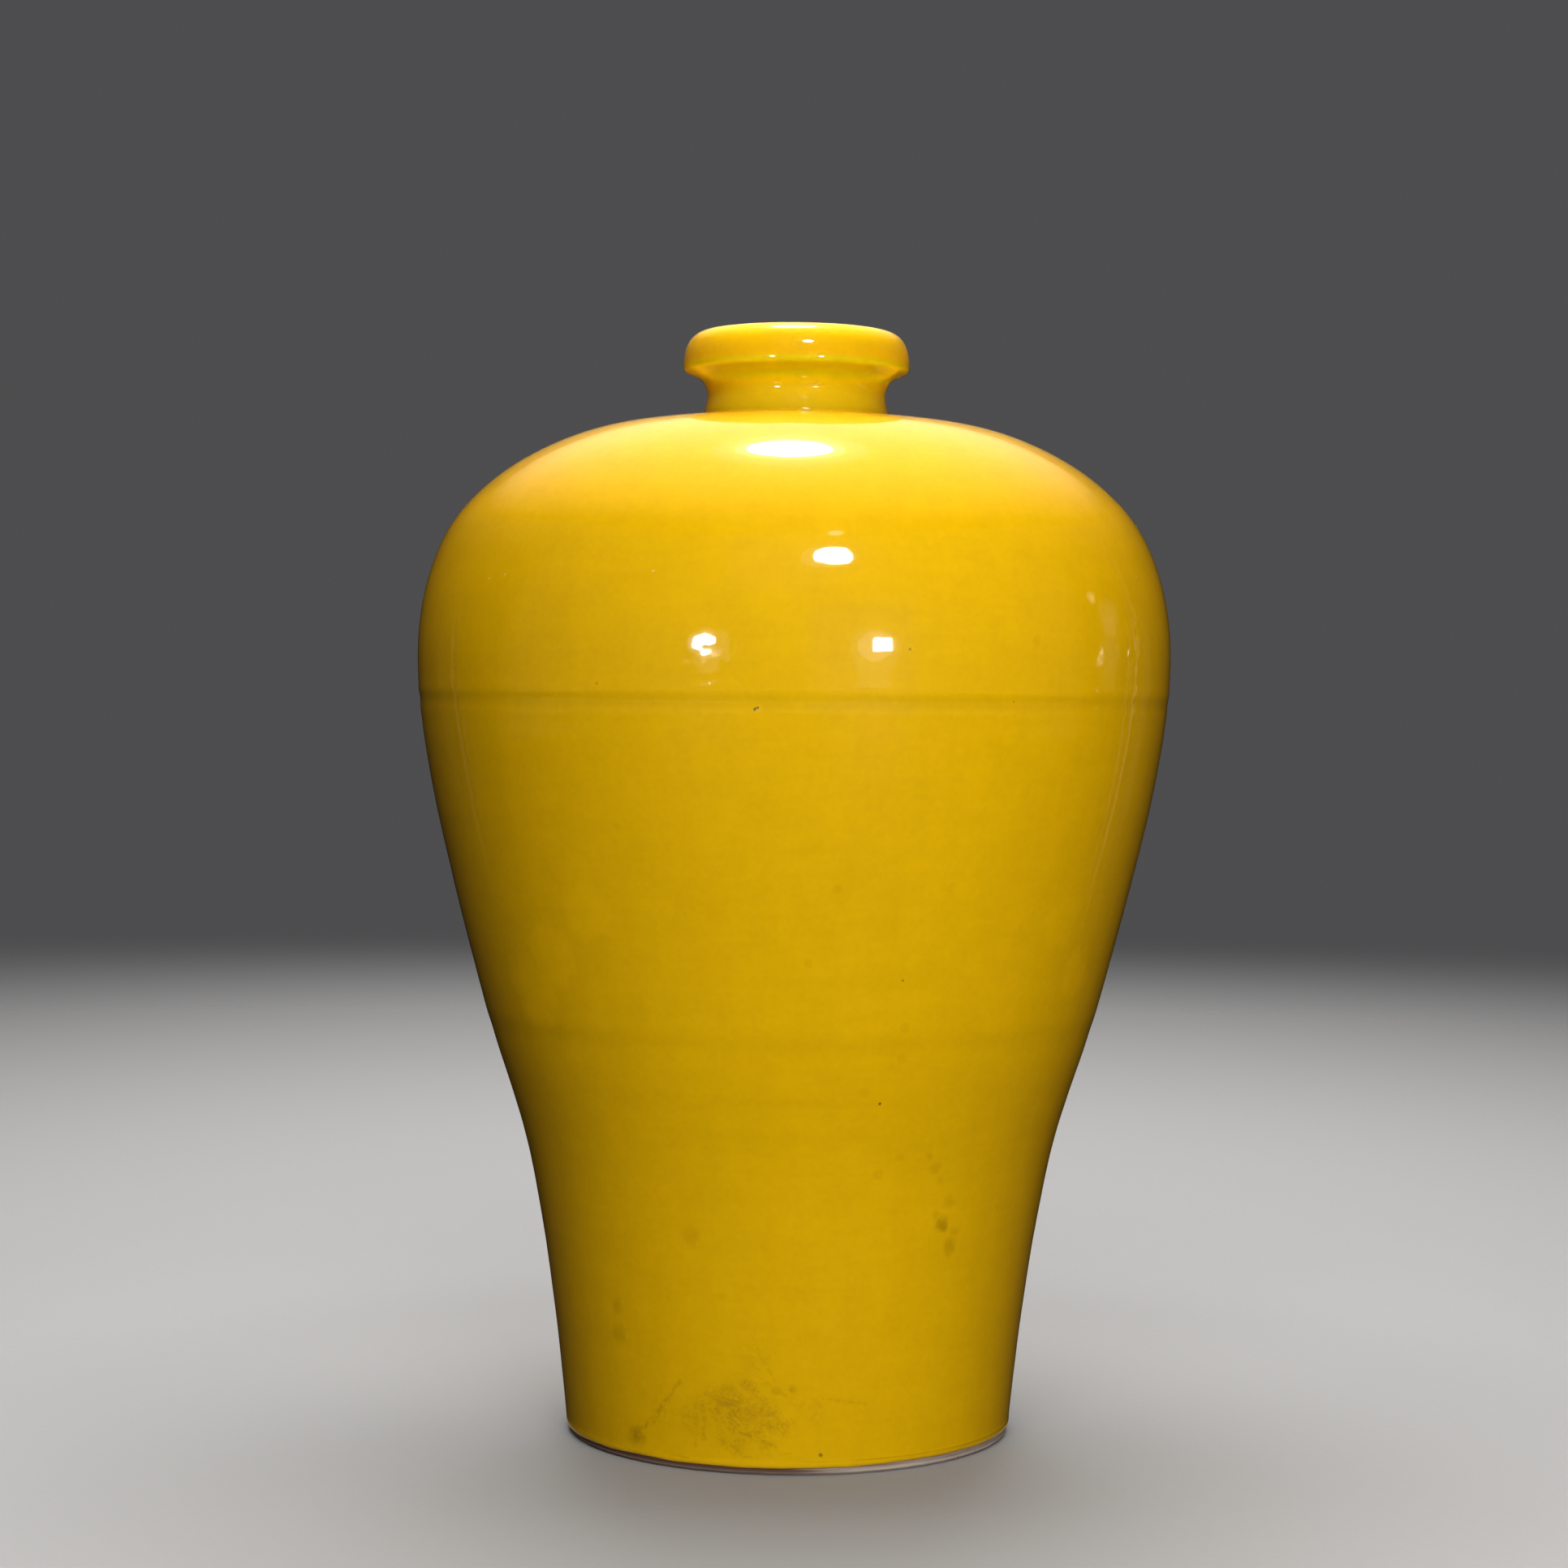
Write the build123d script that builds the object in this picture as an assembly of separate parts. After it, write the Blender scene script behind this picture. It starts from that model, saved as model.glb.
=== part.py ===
from build123d import *

import os
from math import cos, radians, sin

# A tall, high-shouldered meiping vase with a small rolled mouth, made as a potter makes it.
# Three thrown sections and a separate neck are luted together with slip. A yellow glaze
# covers the outside and the mouth, and a thin clear lining makes the cavity hold water.
# The foot ring and the recessed base stay bare.
#
# Lengths are millimetres and angles are degrees. The vase stands on z = 0, on the z axis.
# Outlines are drawn in the x-z plane, where x is the radius, and are turned about the axis.

# The outside of the clay, from the foot over the widest place to the neck's seat
foot_diameter = 132.4
belly_diameter = 224.8
belly_height = 234.6
shoulder_rise = 69.4
foot_slope_share = 0.10

# Where the thrown sections meet, and how their edges are cut
foot_section_height = 126.0
lower_body_height = 93.5
seam_rise_angle = 25.0
slip_thickness = 1.2
slip_bead_radius = 2.4

# Walls, which thin out from the foot to the belly
foot_wall = 9.0
belly_wall = 6.0
shoulder_wall = 6.5

# Floor, foot ring and recessed base
floor_thickness = 9.0
floor_corner = 14.0
recess_depth = 7.0
recess_corner = 3.0
foot_ring_width = 10.0
foot_outer_bevel = 0.8
foot_inner_bevel = 1.2

# Neck, a short waisted collar on the shoulder
neck_foot_diameter = 54.2
neck_waist_diameter = 52.5
neck_waist_rise = 7.4
neck_foot_handle = 2.2
neck_waist_handle = 0.8

# Rolled lip, whose outline leaves the neck outwards at an angle
lip_root_diameter = 57.4
lip_root_rise = 12.6
lip_root_angle = 37.0
lip_root_handle = 2.2
lip_under_handle = 3.0
lip_diameter = 67.1
lip_side_rise = 3.1
lip_side_handle = 2.0
lip_height = 13.3
lip_top_handle = 4.7
lip_crest_diameter = 52.0
lip_crest_handle = 6.6

# Bore of the neck, which rounds over into the lip above and into the cavity below
bore_diameter = 41.0
bore_top_depth = 4.5
bore_foot_rise = 4.0

# Glaze: the coat outside, its thick rolled edge above the bare foot, and the lining inside
glaze_thickness = 0.5
glaze_edge_height = 2.0
glaze_roll_height = 5.0
glaze_roll_extra = 0.15
glaze_pool_radius = 1.0
lining_thickness = 0.3

# Cuts and trial lines run this far past what they cut
overrun = 2.0

# Outline points, as shares of the height and of the radius between the outline's ends
body_outline_shares = (
    (0.13, 0.071),
    (0.27, 0.174),
    (0.40, 0.317),
    (0.50, 0.481),
    (0.64, 0.678),
    (0.79, 0.864),
    (0.93, 0.983),
)
shoulder_outline_shares = (
    (0.30, 0.035),
    (0.50, 0.102),
    (0.70, 0.241),
    (0.85, 0.429),
    (0.945, 0.638),
    (0.985, 0.841),
)
# How far a round corner's handles reach towards its corner, as on a quarter circle
round_handle_share = 0.5523

UP = Vector(0, 0, 1)
INWARD = Vector(-1, 0, 0)
OUTWARD = Vector(1, 0, 0)

shoulder_height = belly_height + shoulder_rise
lower_seam_height = foot_section_height
belly_seam_height = foot_section_height + lower_body_height
floor_height = recess_depth + floor_thickness
bore_foot_height = shoulder_height - shoulder_wall + bore_foot_rise
neck_base_height = shoulder_height + slip_thickness
lip_root_height = shoulder_height + lip_root_rise
lip_crest_height = lip_root_height + lip_height


def at(radius, height):
    """The point of an outline at this radius and height."""
    return Vector(radius, 0, height)


def square_to(along):
    """The direction that points out of the clay where an outline runs along, seen upwards."""
    return Vector(along.Z, 0, -along.X)


def points_between(start, end, shares):
    """Outline points between two others, at shares of their height and of their radius."""
    span = end - start
    return [at(start.X + span.X * out, start.Z + span.Z * up) for up, out in shares]


def round_corner(start, start_along, end, end_along):
    """A quarter turn from start, leaving along start_along, to end, arriving along end_along."""
    span = end - start
    leave = start_along * abs(span.dot(start_along)) * round_handle_share
    arrive = end_along * abs(span.dot(end_along)) * round_handle_share
    return Bezier(start, start + leave, end - arrive, end)


def crossing(edge, point, direction):
    """Where an outline's edge crosses the line through a point."""
    return edge.find_intersection_points(Axis(point, direction))[0]


def section(edges):
    """The face that a closed outline bounds."""
    return make_face(edges).face()


def turned(face):
    """The solid that a section makes when it is turned about the axis."""
    return revolve(face, axis=Axis.Z)


# The clay's outline and its walls, at the same places
foot_point = at(foot_diameter / 2, foot_outer_bevel)
belly_point = at(belly_diameter / 2, belly_height)
shoulder_point = at(neck_foot_diameter / 2, shoulder_height)
outline_points = [
    foot_point,
    *points_between(foot_point, belly_point, body_outline_shares),
    belly_point,
    *points_between(belly_point, shoulder_point, shoulder_outline_shares),
    shoulder_point,
]
body_wall_shares = [0, *(up for up, _ in body_outline_shares)]
shoulder_wall_shares = [0, *(up for up, _ in shoulder_outline_shares), 1]
wall_thicknesses = [
    *(foot_wall + (belly_wall - foot_wall) * share for share in body_wall_shares),
    *(belly_wall + (shoulder_wall - belly_wall) * share for share in shoulder_wall_shares),
]

foot_along = Vector(foot_slope_share, 0, 1).normalized()
outline_ends = [foot_along, INWARD]
body_outline = Spline(outline_points, tangents=outline_ends)
outline_normals = [square_to(body_outline.tangent_at(point)) for point in outline_points]


def beside_outline(distances):
    """The body's outline, moved out of the clay by a distance at each of its points."""
    rows = zip(outline_points, outline_normals, distances)
    return Spline([point + normal * distance for point, normal, distance in rows])


def mouth_edges(start, skin):
    """The neck and lip from start to the foot of the bore, proud of the clay by a skin."""
    waist = at(neck_waist_diameter / 2 + skin, shoulder_height + neck_waist_rise)
    root_along = Vector(cos(radians(lip_root_angle)), 0, sin(radians(lip_root_angle)))
    root = at(lip_root_diameter / 2, lip_root_height) + square_to(root_along) * skin
    side = at(lip_diameter / 2 + skin, lip_root_height + lip_side_rise)
    crest = at(lip_crest_diameter / 2, lip_crest_height + skin)
    bore_top = at(bore_diameter / 2 - skin, lip_crest_height - bore_top_depth)
    bore_foot = at(bore_top.X, bore_foot_height)
    foot_reach = UP * neck_foot_handle
    return [
        Bezier(start, start + foot_reach, waist - foot_reach, waist),
        Bezier(waist, waist + UP * neck_waist_handle, root - root_along * lip_root_handle, root),
        Bezier(root, root + root_along * lip_under_handle, side - UP * lip_side_handle, side),
        Bezier(side, side + UP * lip_top_handle, crest + OUTWARD * lip_crest_handle, crest),
        round_corner(crest, INWARD, bore_top, -UP),
        Line(bore_top, bore_foot),
    ]


def cavity_edges(skin):
    """The cavity from the foot of the bore down to the middle of the floor, inside a skin."""
    wall = beside_outline([-thickness - skin for thickness in wall_thicknesses])
    wall_foot = crossing(wall, at(0, floor_height + floor_corner), OUTWARD)
    wall = wall.trim(wall_foot, wall @ 1)
    bore_foot = at(bore_diameter / 2 - skin, bore_foot_height)
    floor_edge = at(wall_foot.X - floor_corner, floor_height + skin)
    return [
        round_corner(bore_foot, -UP, wall @ 1, OUTWARD),
        wall,
        round_corner(wall_foot, -(wall % 0), floor_edge, INWARD),
        Line(floor_edge, at(0, floor_edge.Z)),
    ]


def base_edges():
    """The bare base, from its middle over the recess and the foot ring to the wall's foot."""
    ring_outer = foot_diameter / 2
    ring_inner = ring_outer - foot_ring_width
    recess_edge = at(ring_inner - recess_corner, recess_depth)
    recess_foot = at(ring_inner, recess_depth - recess_corner)
    ring_points = [
        recess_foot,
        at(ring_inner, foot_inner_bevel),
        at(ring_inner + foot_inner_bevel, 0),
        at(ring_outer - foot_outer_bevel, 0),
        foot_point,
    ]
    return [
        Line(at(0, recess_depth), recess_edge),
        round_corner(recess_edge, OUTWARD, recess_foot, -UP),
        *Polyline(ring_points).edges(),
    ]


def body_section():
    """The three thrown sections together, from the base to the neck's flat seat."""
    seat_inner = at(bore_diameter / 2, shoulder_height)
    bore_foot = at(bore_diameter / 2, bore_foot_height)
    return section([
        *base_edges(),
        body_outline,
        Line(shoulder_point, seat_inner),
        Line(seat_inner, bore_foot),
        *cavity_edges(0),
        Line(at(0, floor_height), at(0, recess_depth)),
    ])


def air_section(skin):
    """The hollow of the cavity inside a skin, closed at the foot of the bore."""
    return section([
        *cavity_edges(skin),
        Line(at(0, floor_height + skin), at(0, bore_foot_height)),
        Line(at(0, bore_foot_height), at(bore_diameter / 2 - skin, bore_foot_height)),
    ])


class Seam:
    """A slanted joint between two thrown sections, with the slip that fills it."""

    def __init__(self, height, inner_wall):
        rise = radians(seam_rise_angle)
        into = Vector(-cos(rise), 0, sin(rise))
        self.outer = crossing(body_outline, at(0, height), OUTWARD)
        self.inner = crossing(inner_wall, self.outer, into)
        start = self.outer - into * overrun
        end = self.inner + into * overrun
        half = square_to(into) * (slip_thickness / 2)
        corners = [start + half, end + half, end - half, start - half]
        self.gap = section(Polyline(corners, close=True).edges())

    def bead(self, skin):
        """The round bead that the joint squeezed out on the inside, under a skin."""
        plane = Plane(self.inner, x_dir=(1, 0, 0), z_dir=(0, -1, 0))
        return (plane * Circle(slip_bead_radius + skin)).face()


def collar(outer_radius):
    """The neck's slip: a flat ring on the shoulder's seat."""
    inner = at(bore_diameter / 2, shoulder_height)
    outer = at(outer_radius, shoulder_height)
    lift = UP * slip_thickness
    return section(Polyline([inner, outer, outer + lift, inner + lift], close=True).edges())


def neck_section():
    """The neck and its rolled lip, from the slip on the shoulder up."""
    base_outer = at(neck_foot_diameter / 2, neck_base_height)
    base_inner = at(bore_diameter / 2, neck_base_height)
    *edges, bore = mouth_edges(base_outer, 0)
    return section([*edges, Line(bore @ 0, base_inner), Line(base_inner, base_outer)])


def glaze_section():
    """The yellow coat, from its thick edge above the foot to the foot of the bore."""
    outer = beside_outline([glaze_thickness] * len(outline_points))
    edge = crossing(body_outline, at(0, glaze_edge_height), OUTWARD)
    roll_end = crossing(outer, at(0, glaze_roll_height), OUTWARD)
    along = body_outline.tangent_at(edge)
    roll_height = glaze_roll_height - glaze_edge_height
    roll = edge + square_to(along) * (glaze_thickness + glaze_roll_extra) + along * (roll_height / 3)
    easing = along * (roll_height / 3)
    neck_radius = neck_foot_diameter / 2 + glaze_thickness
    pool_start = crossing(outer, at(neck_radius + glaze_pool_radius, 0), UP)
    pool_end = at(neck_radius, pool_start.Z + glaze_pool_radius)
    neck_foot = at(neck_foot_diameter / 2, neck_base_height)
    coat = mouth_edges(pool_end, glaze_thickness)
    clay = mouth_edges(neck_foot, 0)
    return section([
        round_corner(edge, square_to(along), roll, along),
        Bezier(roll, roll + easing, roll_end - easing, roll_end),
        outer.trim(roll_end, pool_start),
        round_corner(pool_start, INWARD, pool_end, UP),
        *coat,
        Line(coat[-1] @ 1, clay[-1] @ 1),
        *clay,
        Line(neck_foot, shoulder_point),
        body_outline.trim(edge, shoulder_point),
    ])


def lowest_first(shape):
    """The faces of a cut section, from the foot up."""
    return shape.faces().sort_by(Axis.Z)


body = body_section()
air = air_section(0)
inner_wall = cavity_edges(0)[1]
lower_seam = Seam(lower_seam_height, inner_wall)
belly_seam = Seam(belly_seam_height, inner_wall)

foot_face, lower_face, upper_face = lowest_first(body - lower_seam.gap - belly_seam.gap)
lower_slip = (body & lower_seam.gap) + (lower_seam.bead(0) & air)
belly_slip = (body & belly_seam.gap) + (belly_seam.bead(0) & air)
hollow = air_section(lining_thickness)
for seam in (lower_seam, belly_seam):
    air = air - seam.bead(0)
    hollow = hollow - seam.bead(lining_thickness)
lining = air - hollow

nodes = {
    "foot_section": turned(foot_face),
    "lower_luting_slip": turned(lower_slip),
    "lower_body": turned(lower_face),
    "belly_luting_slip": turned(belly_slip),
    "upper_body": turned(upper_face),
    "neck_luting_slip": turned(collar(neck_foot_diameter / 2)),
    "neck_and_mouth": turned(neck_section()),
    "outer_glaze": turned(glaze_section()),
    "inner_glaze": turned(lining),
}

os.makedirs("parts", exist_ok=True)
for name, solid in nodes.items():
    export_step(solid, f"parts/{name}.step")
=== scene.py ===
from contextlib import contextmanager
from math import cos, pi, radians, sin

import bpy
import numpy
from bpy.props import FloatProperty, FloatVectorProperty, IntProperty, PointerProperty
from bpy.types import Operator, Panel, PropertyGroup
from mathutils import Euler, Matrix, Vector
from mathutils.geometry import interpolate_bezier


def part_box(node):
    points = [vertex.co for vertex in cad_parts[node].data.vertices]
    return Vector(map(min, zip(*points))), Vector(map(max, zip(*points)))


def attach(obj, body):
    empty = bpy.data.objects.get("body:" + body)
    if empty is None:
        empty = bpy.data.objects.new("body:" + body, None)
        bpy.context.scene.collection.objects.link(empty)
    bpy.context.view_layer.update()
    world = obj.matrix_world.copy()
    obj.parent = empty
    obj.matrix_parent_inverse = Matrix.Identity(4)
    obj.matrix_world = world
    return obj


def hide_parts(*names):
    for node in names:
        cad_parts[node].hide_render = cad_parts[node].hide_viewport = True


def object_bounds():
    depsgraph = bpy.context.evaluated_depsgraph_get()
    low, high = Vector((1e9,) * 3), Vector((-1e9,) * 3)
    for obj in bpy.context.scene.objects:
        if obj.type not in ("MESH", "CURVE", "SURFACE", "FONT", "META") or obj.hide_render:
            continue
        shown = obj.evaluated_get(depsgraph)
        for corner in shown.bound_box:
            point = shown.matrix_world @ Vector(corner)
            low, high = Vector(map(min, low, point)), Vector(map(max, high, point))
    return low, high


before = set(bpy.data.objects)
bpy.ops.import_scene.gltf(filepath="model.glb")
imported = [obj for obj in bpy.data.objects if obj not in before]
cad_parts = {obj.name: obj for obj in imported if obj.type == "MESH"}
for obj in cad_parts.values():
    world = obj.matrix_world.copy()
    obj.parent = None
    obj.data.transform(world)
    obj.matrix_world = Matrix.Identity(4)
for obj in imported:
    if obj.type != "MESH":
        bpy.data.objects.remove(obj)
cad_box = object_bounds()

# The looks of a yellow meiping vase: its glaze, its bare foot, its clear lining, and a plain
# studio round it. Lengths are metres and the vase stands on z = 0, on the z axis. Outlines
# are drawn in the x-z plane, where x is the radius, and are turned about the axis. The front
# faces -Y, and an azimuth turns from the front towards +X.

bl_info = {
    "name": "Meiping vase",
    "version": (1, 0, 0),
    "blender": (4, 5, 0),
    "location": "View3D > Sidebar > Vase",
    "description": "Glazes a luted meiping vase and sets it in a plain studio",
    "category": "Object",
}

UP = Vector((0, 0, 1))
INWARD = Vector((-1, 0, 0))
OUTWARD = Vector((1, 0, 0))

GLAZE_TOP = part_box("outer_glaze")[1]
NECK_SLIP_LOW, NECK_SLIP_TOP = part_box("neck_luting_slip")
BELLY_SLIP_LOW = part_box("belly_luting_slip")[0]
LOWER_SLIP_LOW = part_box("lower_luting_slip")[0]

# Outline points, as shares of the height and of the radius between the outline's ends
BODY_SHARES = (
    (0.13, 0.071), (0.27, 0.174), (0.40, 0.317), (0.50, 0.481),
    (0.64, 0.678), (0.79, 0.864), (0.93, 0.983),
)
SHOULDER_SHARES = (
    (0.30, 0.035), (0.50, 0.102), (0.70, 0.241), (0.85, 0.429), (0.945, 0.638), (0.985, 0.841),
)
# How far a round corner's handles reach towards its corner, as on a quarter circle
ROUND_SHARE = 0.5523
# How the lip leaves the neck, and how far the handles of the neck and lip reach
LIP_ROOT_ANGLE = radians(37)
NECK_HANDLE = 0.0022
WAIST_HANDLE = 0.0008
ROOT_HANDLE = 0.0022
UNDER_HANDLE = 0.0030
SIDE_HANDLE = 0.0020
TOP_HANDLE = 0.0047
CREST_HANDLE = 0.0066
# How steeply the seams between the thrown sections rise inwards
SEAM_RISE = radians(25)
# Points of an outline nearer to each other than this are one point
WELD = 1e-6
# How many points of a curve are looked at when a place on it is sought
SEARCH_POINTS = 16
# Distances between the points of the outlines: short where a shape turns tightly, and long
# where it is straight or hidden
POOL_STEP = 0.0003
COAT_EDGE_STEP = 0.0005
LIP_STEP = 0.0006
GROOVE_STEP = 0.0006
BORE_ROUND_STEP = 0.0008
FOOT_RING_STEP = 0.0010
COAT_END_STEP = 0.0010
LINING_FLOOR_STEP = 0.0012
COAT_STEP = 0.00125
LINING_STEP = 0.0016
HIDDEN_NECK_STEP = 0.002
BORE_STEP = 0.003
HIDDEN_LIP_STEP = 0.004
CLAY_STEP = 0.004
HIDDEN_STEP = 0.012
SEAT_STEP = 0.02
# Angles past which an edge is shaded crisp
COAT_CREASE = radians(40)
FOOT_CREASE = radians(28)
LINING_CREASE = radians(50)


def length(name, description, default):
    """A length that a user may set."""
    return FloatProperty(
        name=name, description=description, default=default, min=0, unit="LENGTH", precision=5)


def share(name, description, default):
    """A plain number, such as a share or a strength, that a user may set."""
    return FloatProperty(name=name, description=description, default=default, min=0)


def colour(name, description, default):
    """A colour that a user may set."""
    return FloatVectorProperty(
        name=name, description=description, default=default, size=3, min=0, max=1,
        subtype="COLOR")


class VaseSizes(PropertyGroup):
    """The outline of the clay, from the foot to the lip."""

    foot_diameter: length("Foot diameter", "Across the foot ring", 0.1324)
    foot_bevel: length("Foot bevel", "Bevel on the outside of the foot ring", 0.0008)
    foot_slope: share("Foot slope", "How much the wall leans out at the foot", 0.10)
    belly_diameter: length(
        "Belly diameter", "Across the clay at its widest place", 2 * GLAZE_TOP.x - 0.001)
    belly_height: length("Belly height", "Height of the widest place", 0.2346)
    shoulder_height: length("Shoulder height", "Height of the neck's seat", NECK_SLIP_LOW.z)
    slip_thickness: length(
        "Slip thickness", "Thickness of the slip under the neck", NECK_SLIP_TOP.z - NECK_SLIP_LOW.z)
    neck_diameter: length("Neck diameter", "Across the neck's foot", 2 * NECK_SLIP_TOP.x)
    waist_diameter: length("Waist diameter", "Across the neck's waist", 0.0525)
    waist_rise: length("Waist rise", "Height of the waist above the shoulder", 0.0074)
    lip_root_diameter: length("Lip root diameter", "Across the root of the lip", 0.0574)
    lip_root_rise: length("Lip root rise", "Height of the lip's root above the shoulder", 0.0126)
    lip_diameter: length("Lip diameter", "Across the lip at its widest", 0.0671)
    lip_side_rise: length(
        "Lip side rise", "Height of the lip's widest place above its root", 0.0031)
    lip_height: length("Lip height", "Height of the lip's crest above its root", 0.0133)
    crest_diameter: length("Crest diameter", "Across the highest place of the lip", 0.052)
    bore_diameter: length("Bore diameter", "Across the bore of the neck", 0.041)
    bore_top_depth: length("Bore top depth", "How far the lip rounds into the bore", 0.0045)
    bore_foot_rise: length("Bore foot rise", "How far the bore rounds into the cavity", 0.004)


class WallSizes(PropertyGroup):
    """The walls, the floor and the recessed base."""

    foot_wall: length("Foot wall", "Wall at the foot", 0.009)
    belly_wall: length("Belly wall", "Wall at the belly", 0.006)
    shoulder_wall: length("Shoulder wall", "Wall at the shoulder", 0.0065)
    floor_thickness: length("Floor thickness", "Thickness of the floor", 0.009)
    floor_corner: length("Floor corner", "Round between the floor and the wall", 0.014)
    recess_depth: length("Recess depth", "Depth of the recessed base", 0.007)
    recess_corner: length("Recess corner", "Round in the corner of the recess", 0.003)
    ring_width: length("Ring width", "Width of the foot ring", 0.010)
    ring_bevel: length("Ring bevel", "Bevel on the inside of the foot ring", 0.0012)
    seam_gap: length("Seam gap", "Thickness of the slip between the thrown sections", 0.0012)
    bead_radius: length("Bead radius", "Radius of the slip that a seam squeezed out", 0.0024)


class GlazeSizes(PropertyGroup):
    """The coats of glaze and the marks that the potter's hands left in them."""

    coat: length("Coat", "Thickness of the yellow coat", 0.0005)
    edge_height: length("Edge height", "Mean height of the coat's lower edge", 0.002)
    roll_height: length("Roll height", "Where the rolled edge runs out into the coat", 0.005)
    roll_extra: length("Roll extra", "How much thicker the rolled edge is", 0.00015)
    edge_lift: length("Edge lift", "How much higher the edge sits on the right", 0.0006)
    edge_wander: length("Edge wander", "How far the edge wanders up and down", 0.0008)
    pool_radius: length("Pool radius", "Glaze pooled in the neck's corner", 0.001)
    lining: length("Lining", "Thickness of the clear lining", 0.0003)
    seam_ridge: length("Seam ridge", "How proud the belly seam stands", 0.00016)
    seam_reach: length("Seam reach", "Half the width of the belly seam", 0.0030)
    ring_depth: length("Ring depth", "Depth of the throwing rings outside", 0.00004)
    inner_ring_depth: length("Inner ring depth", "Height of the throwing rings inside", 0.00030)
    wander: length("Wander", "How far the thrown wall wanders from round", 0.00016)
    turning_depth: length("Turning depth", "Depth of the turned grooves under the base", 0.00012)
    turning_pitch: length("Turning pitch", "Distance from one turned groove to the next", 0.0022)


class Finishes(PropertyGroup):
    """The colours of the glazes, the clay and the slip."""

    yellow: colour("Yellow", "The yellow glaze", (0.759, 0.456, 0.0008))
    # Painted shade: a greener, darker copy of the yellow, painted under the lip and in the neck's
    # hollow to offset the orange light that bounces there from the shoulder
    bounce_shade_yellow: colour(
        "Neck yellow", "The thinner glaze in the neck's hollow", (0.614, 0.535, 0.0023))
    stain: colour("Stain", "Handling stains and scratches", (0.255, 0.135, 0.003))
    speck: colour("Speck", "Iron specks in the glaze", (0.10, 0.045, 0.008))
    # Painted highlight: the pale colour of the sparkling dots over the grains
    grain: colour("Grain", "Sand grains that stand up through the glaze", (0.93, 0.76, 0.40))
    toasted: colour("Toasted", "Bare clay, toasted brown", (0.098, 0.048, 0.030))
    rubbed: colour("Rubbed", "Bare clay where it is rubbed pale", (0.455, 0.365, 0.305))
    paste: colour("Paste", "The body clay", (0.62, 0.58, 0.52))
    slip: colour("Slip", "The luting slip", (0.55, 0.50, 0.44))
    lining: colour("Lining", "The clear glaze over the clay", (0.66, 0.63, 0.55))
    gloss: share("Gloss", "Roughness of the shine on clean glaze", 0.045)


class Studio(PropertyGroup):
    """The stage, the lamps and the camera."""

    floor: colour("Floor", "The floor, as it is seen", (0.36, 0.352, 0.345))
    floor_bounce: colour("Floor bounce", "The floor, as it lights the vase", (0.05, 0.049, 0.047))
    backdrop: colour("Backdrop", "What shows beyond the floor", (0.075, 0.075, 0.078))
    ambient: share("Ambient", "Level of the light from all round", 0.02)
    soft: share("Soft lamps", "Brightness of the large soft lamps", 1.0)
    glints: share("Glints", "Brightness of the small lamps that the glaze mirrors", 80.0)
    overhead: share("Overhead", "Brightness of the small lamp above the mouth", 26.0)
    camera_distance: length("Camera distance", "From the vase's axis to the camera", 0.98)
    camera_height: length("Camera height", "Height of the camera", 0.2184)
    lens: FloatProperty(name="Lens", description="Focal length", default=74.53, unit="CAMERA")
    columns: IntProperty(name="Columns", description="Steps round each turned piece", default=220)


def at(radius, height):
    """The point of an outline at this radius and height."""
    return Vector((radius, 0, height))


def square_to(along):
    """The direction that points out of the clay where an outline runs along, seen upwards."""
    return Vector((along.z, 0, -along.x)).normalized()


def points_between(start, end, shares):
    """Outline points between two others, at shares of their height and of their radius."""
    span = end - start
    return [at(start.x + span.x * out, start.z + span.z * up) for up, out in shares]


def slopes_through(points, first, last):
    """The slope at each point of the smoothest curve through them, from its end directions."""
    spans = [(after - before).length for before, after in zip(points, points[1:])]
    matrix = numpy.identity(len(points))
    target = numpy.array([first, *points[1:-1], last], float)
    for index in range(1, len(points) - 1):
        before, after = spans[index - 1], spans[index]
        arriving = (points[index] - points[index - 1]) * (3 * after / before)
        leaving = (points[index + 1] - points[index]) * (3 * before / after)
        matrix[index, index - 1:index + 2] = after, 2 * (before + after), before
        target[index] = arriving + leaving
    return [Vector(slope) for slope in numpy.linalg.solve(matrix, target)]


def smooth_run(points, first, last):
    """The smoothest curve through points, as Bezier cubics."""
    slopes = slopes_through(points, first, last)
    cubics = []
    for index, (start, end) in enumerate(zip(points, points[1:])):
        reach = (end - start).length / 3
        leave = start + slopes[index] * reach
        arrive = end - slopes[index + 1] * reach
        cubics.append((start, leave, arrive, end))
    return cubics


def round_corner(start, start_along, end, end_along):
    """A quarter turn from start, leaving along start_along, to end, arriving along end_along."""
    span = end - start
    leave = start_along * abs(span.dot(start_along)) * ROUND_SHARE
    arrive = end_along * abs(span.dot(end_along)) * ROUND_SHARE
    return start, start + leave, end - arrive, end


def straight(start, end):
    """A straight line as a Bezier cubic."""
    third = (end - start) / 3
    return start, start + third, end - third, end


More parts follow.
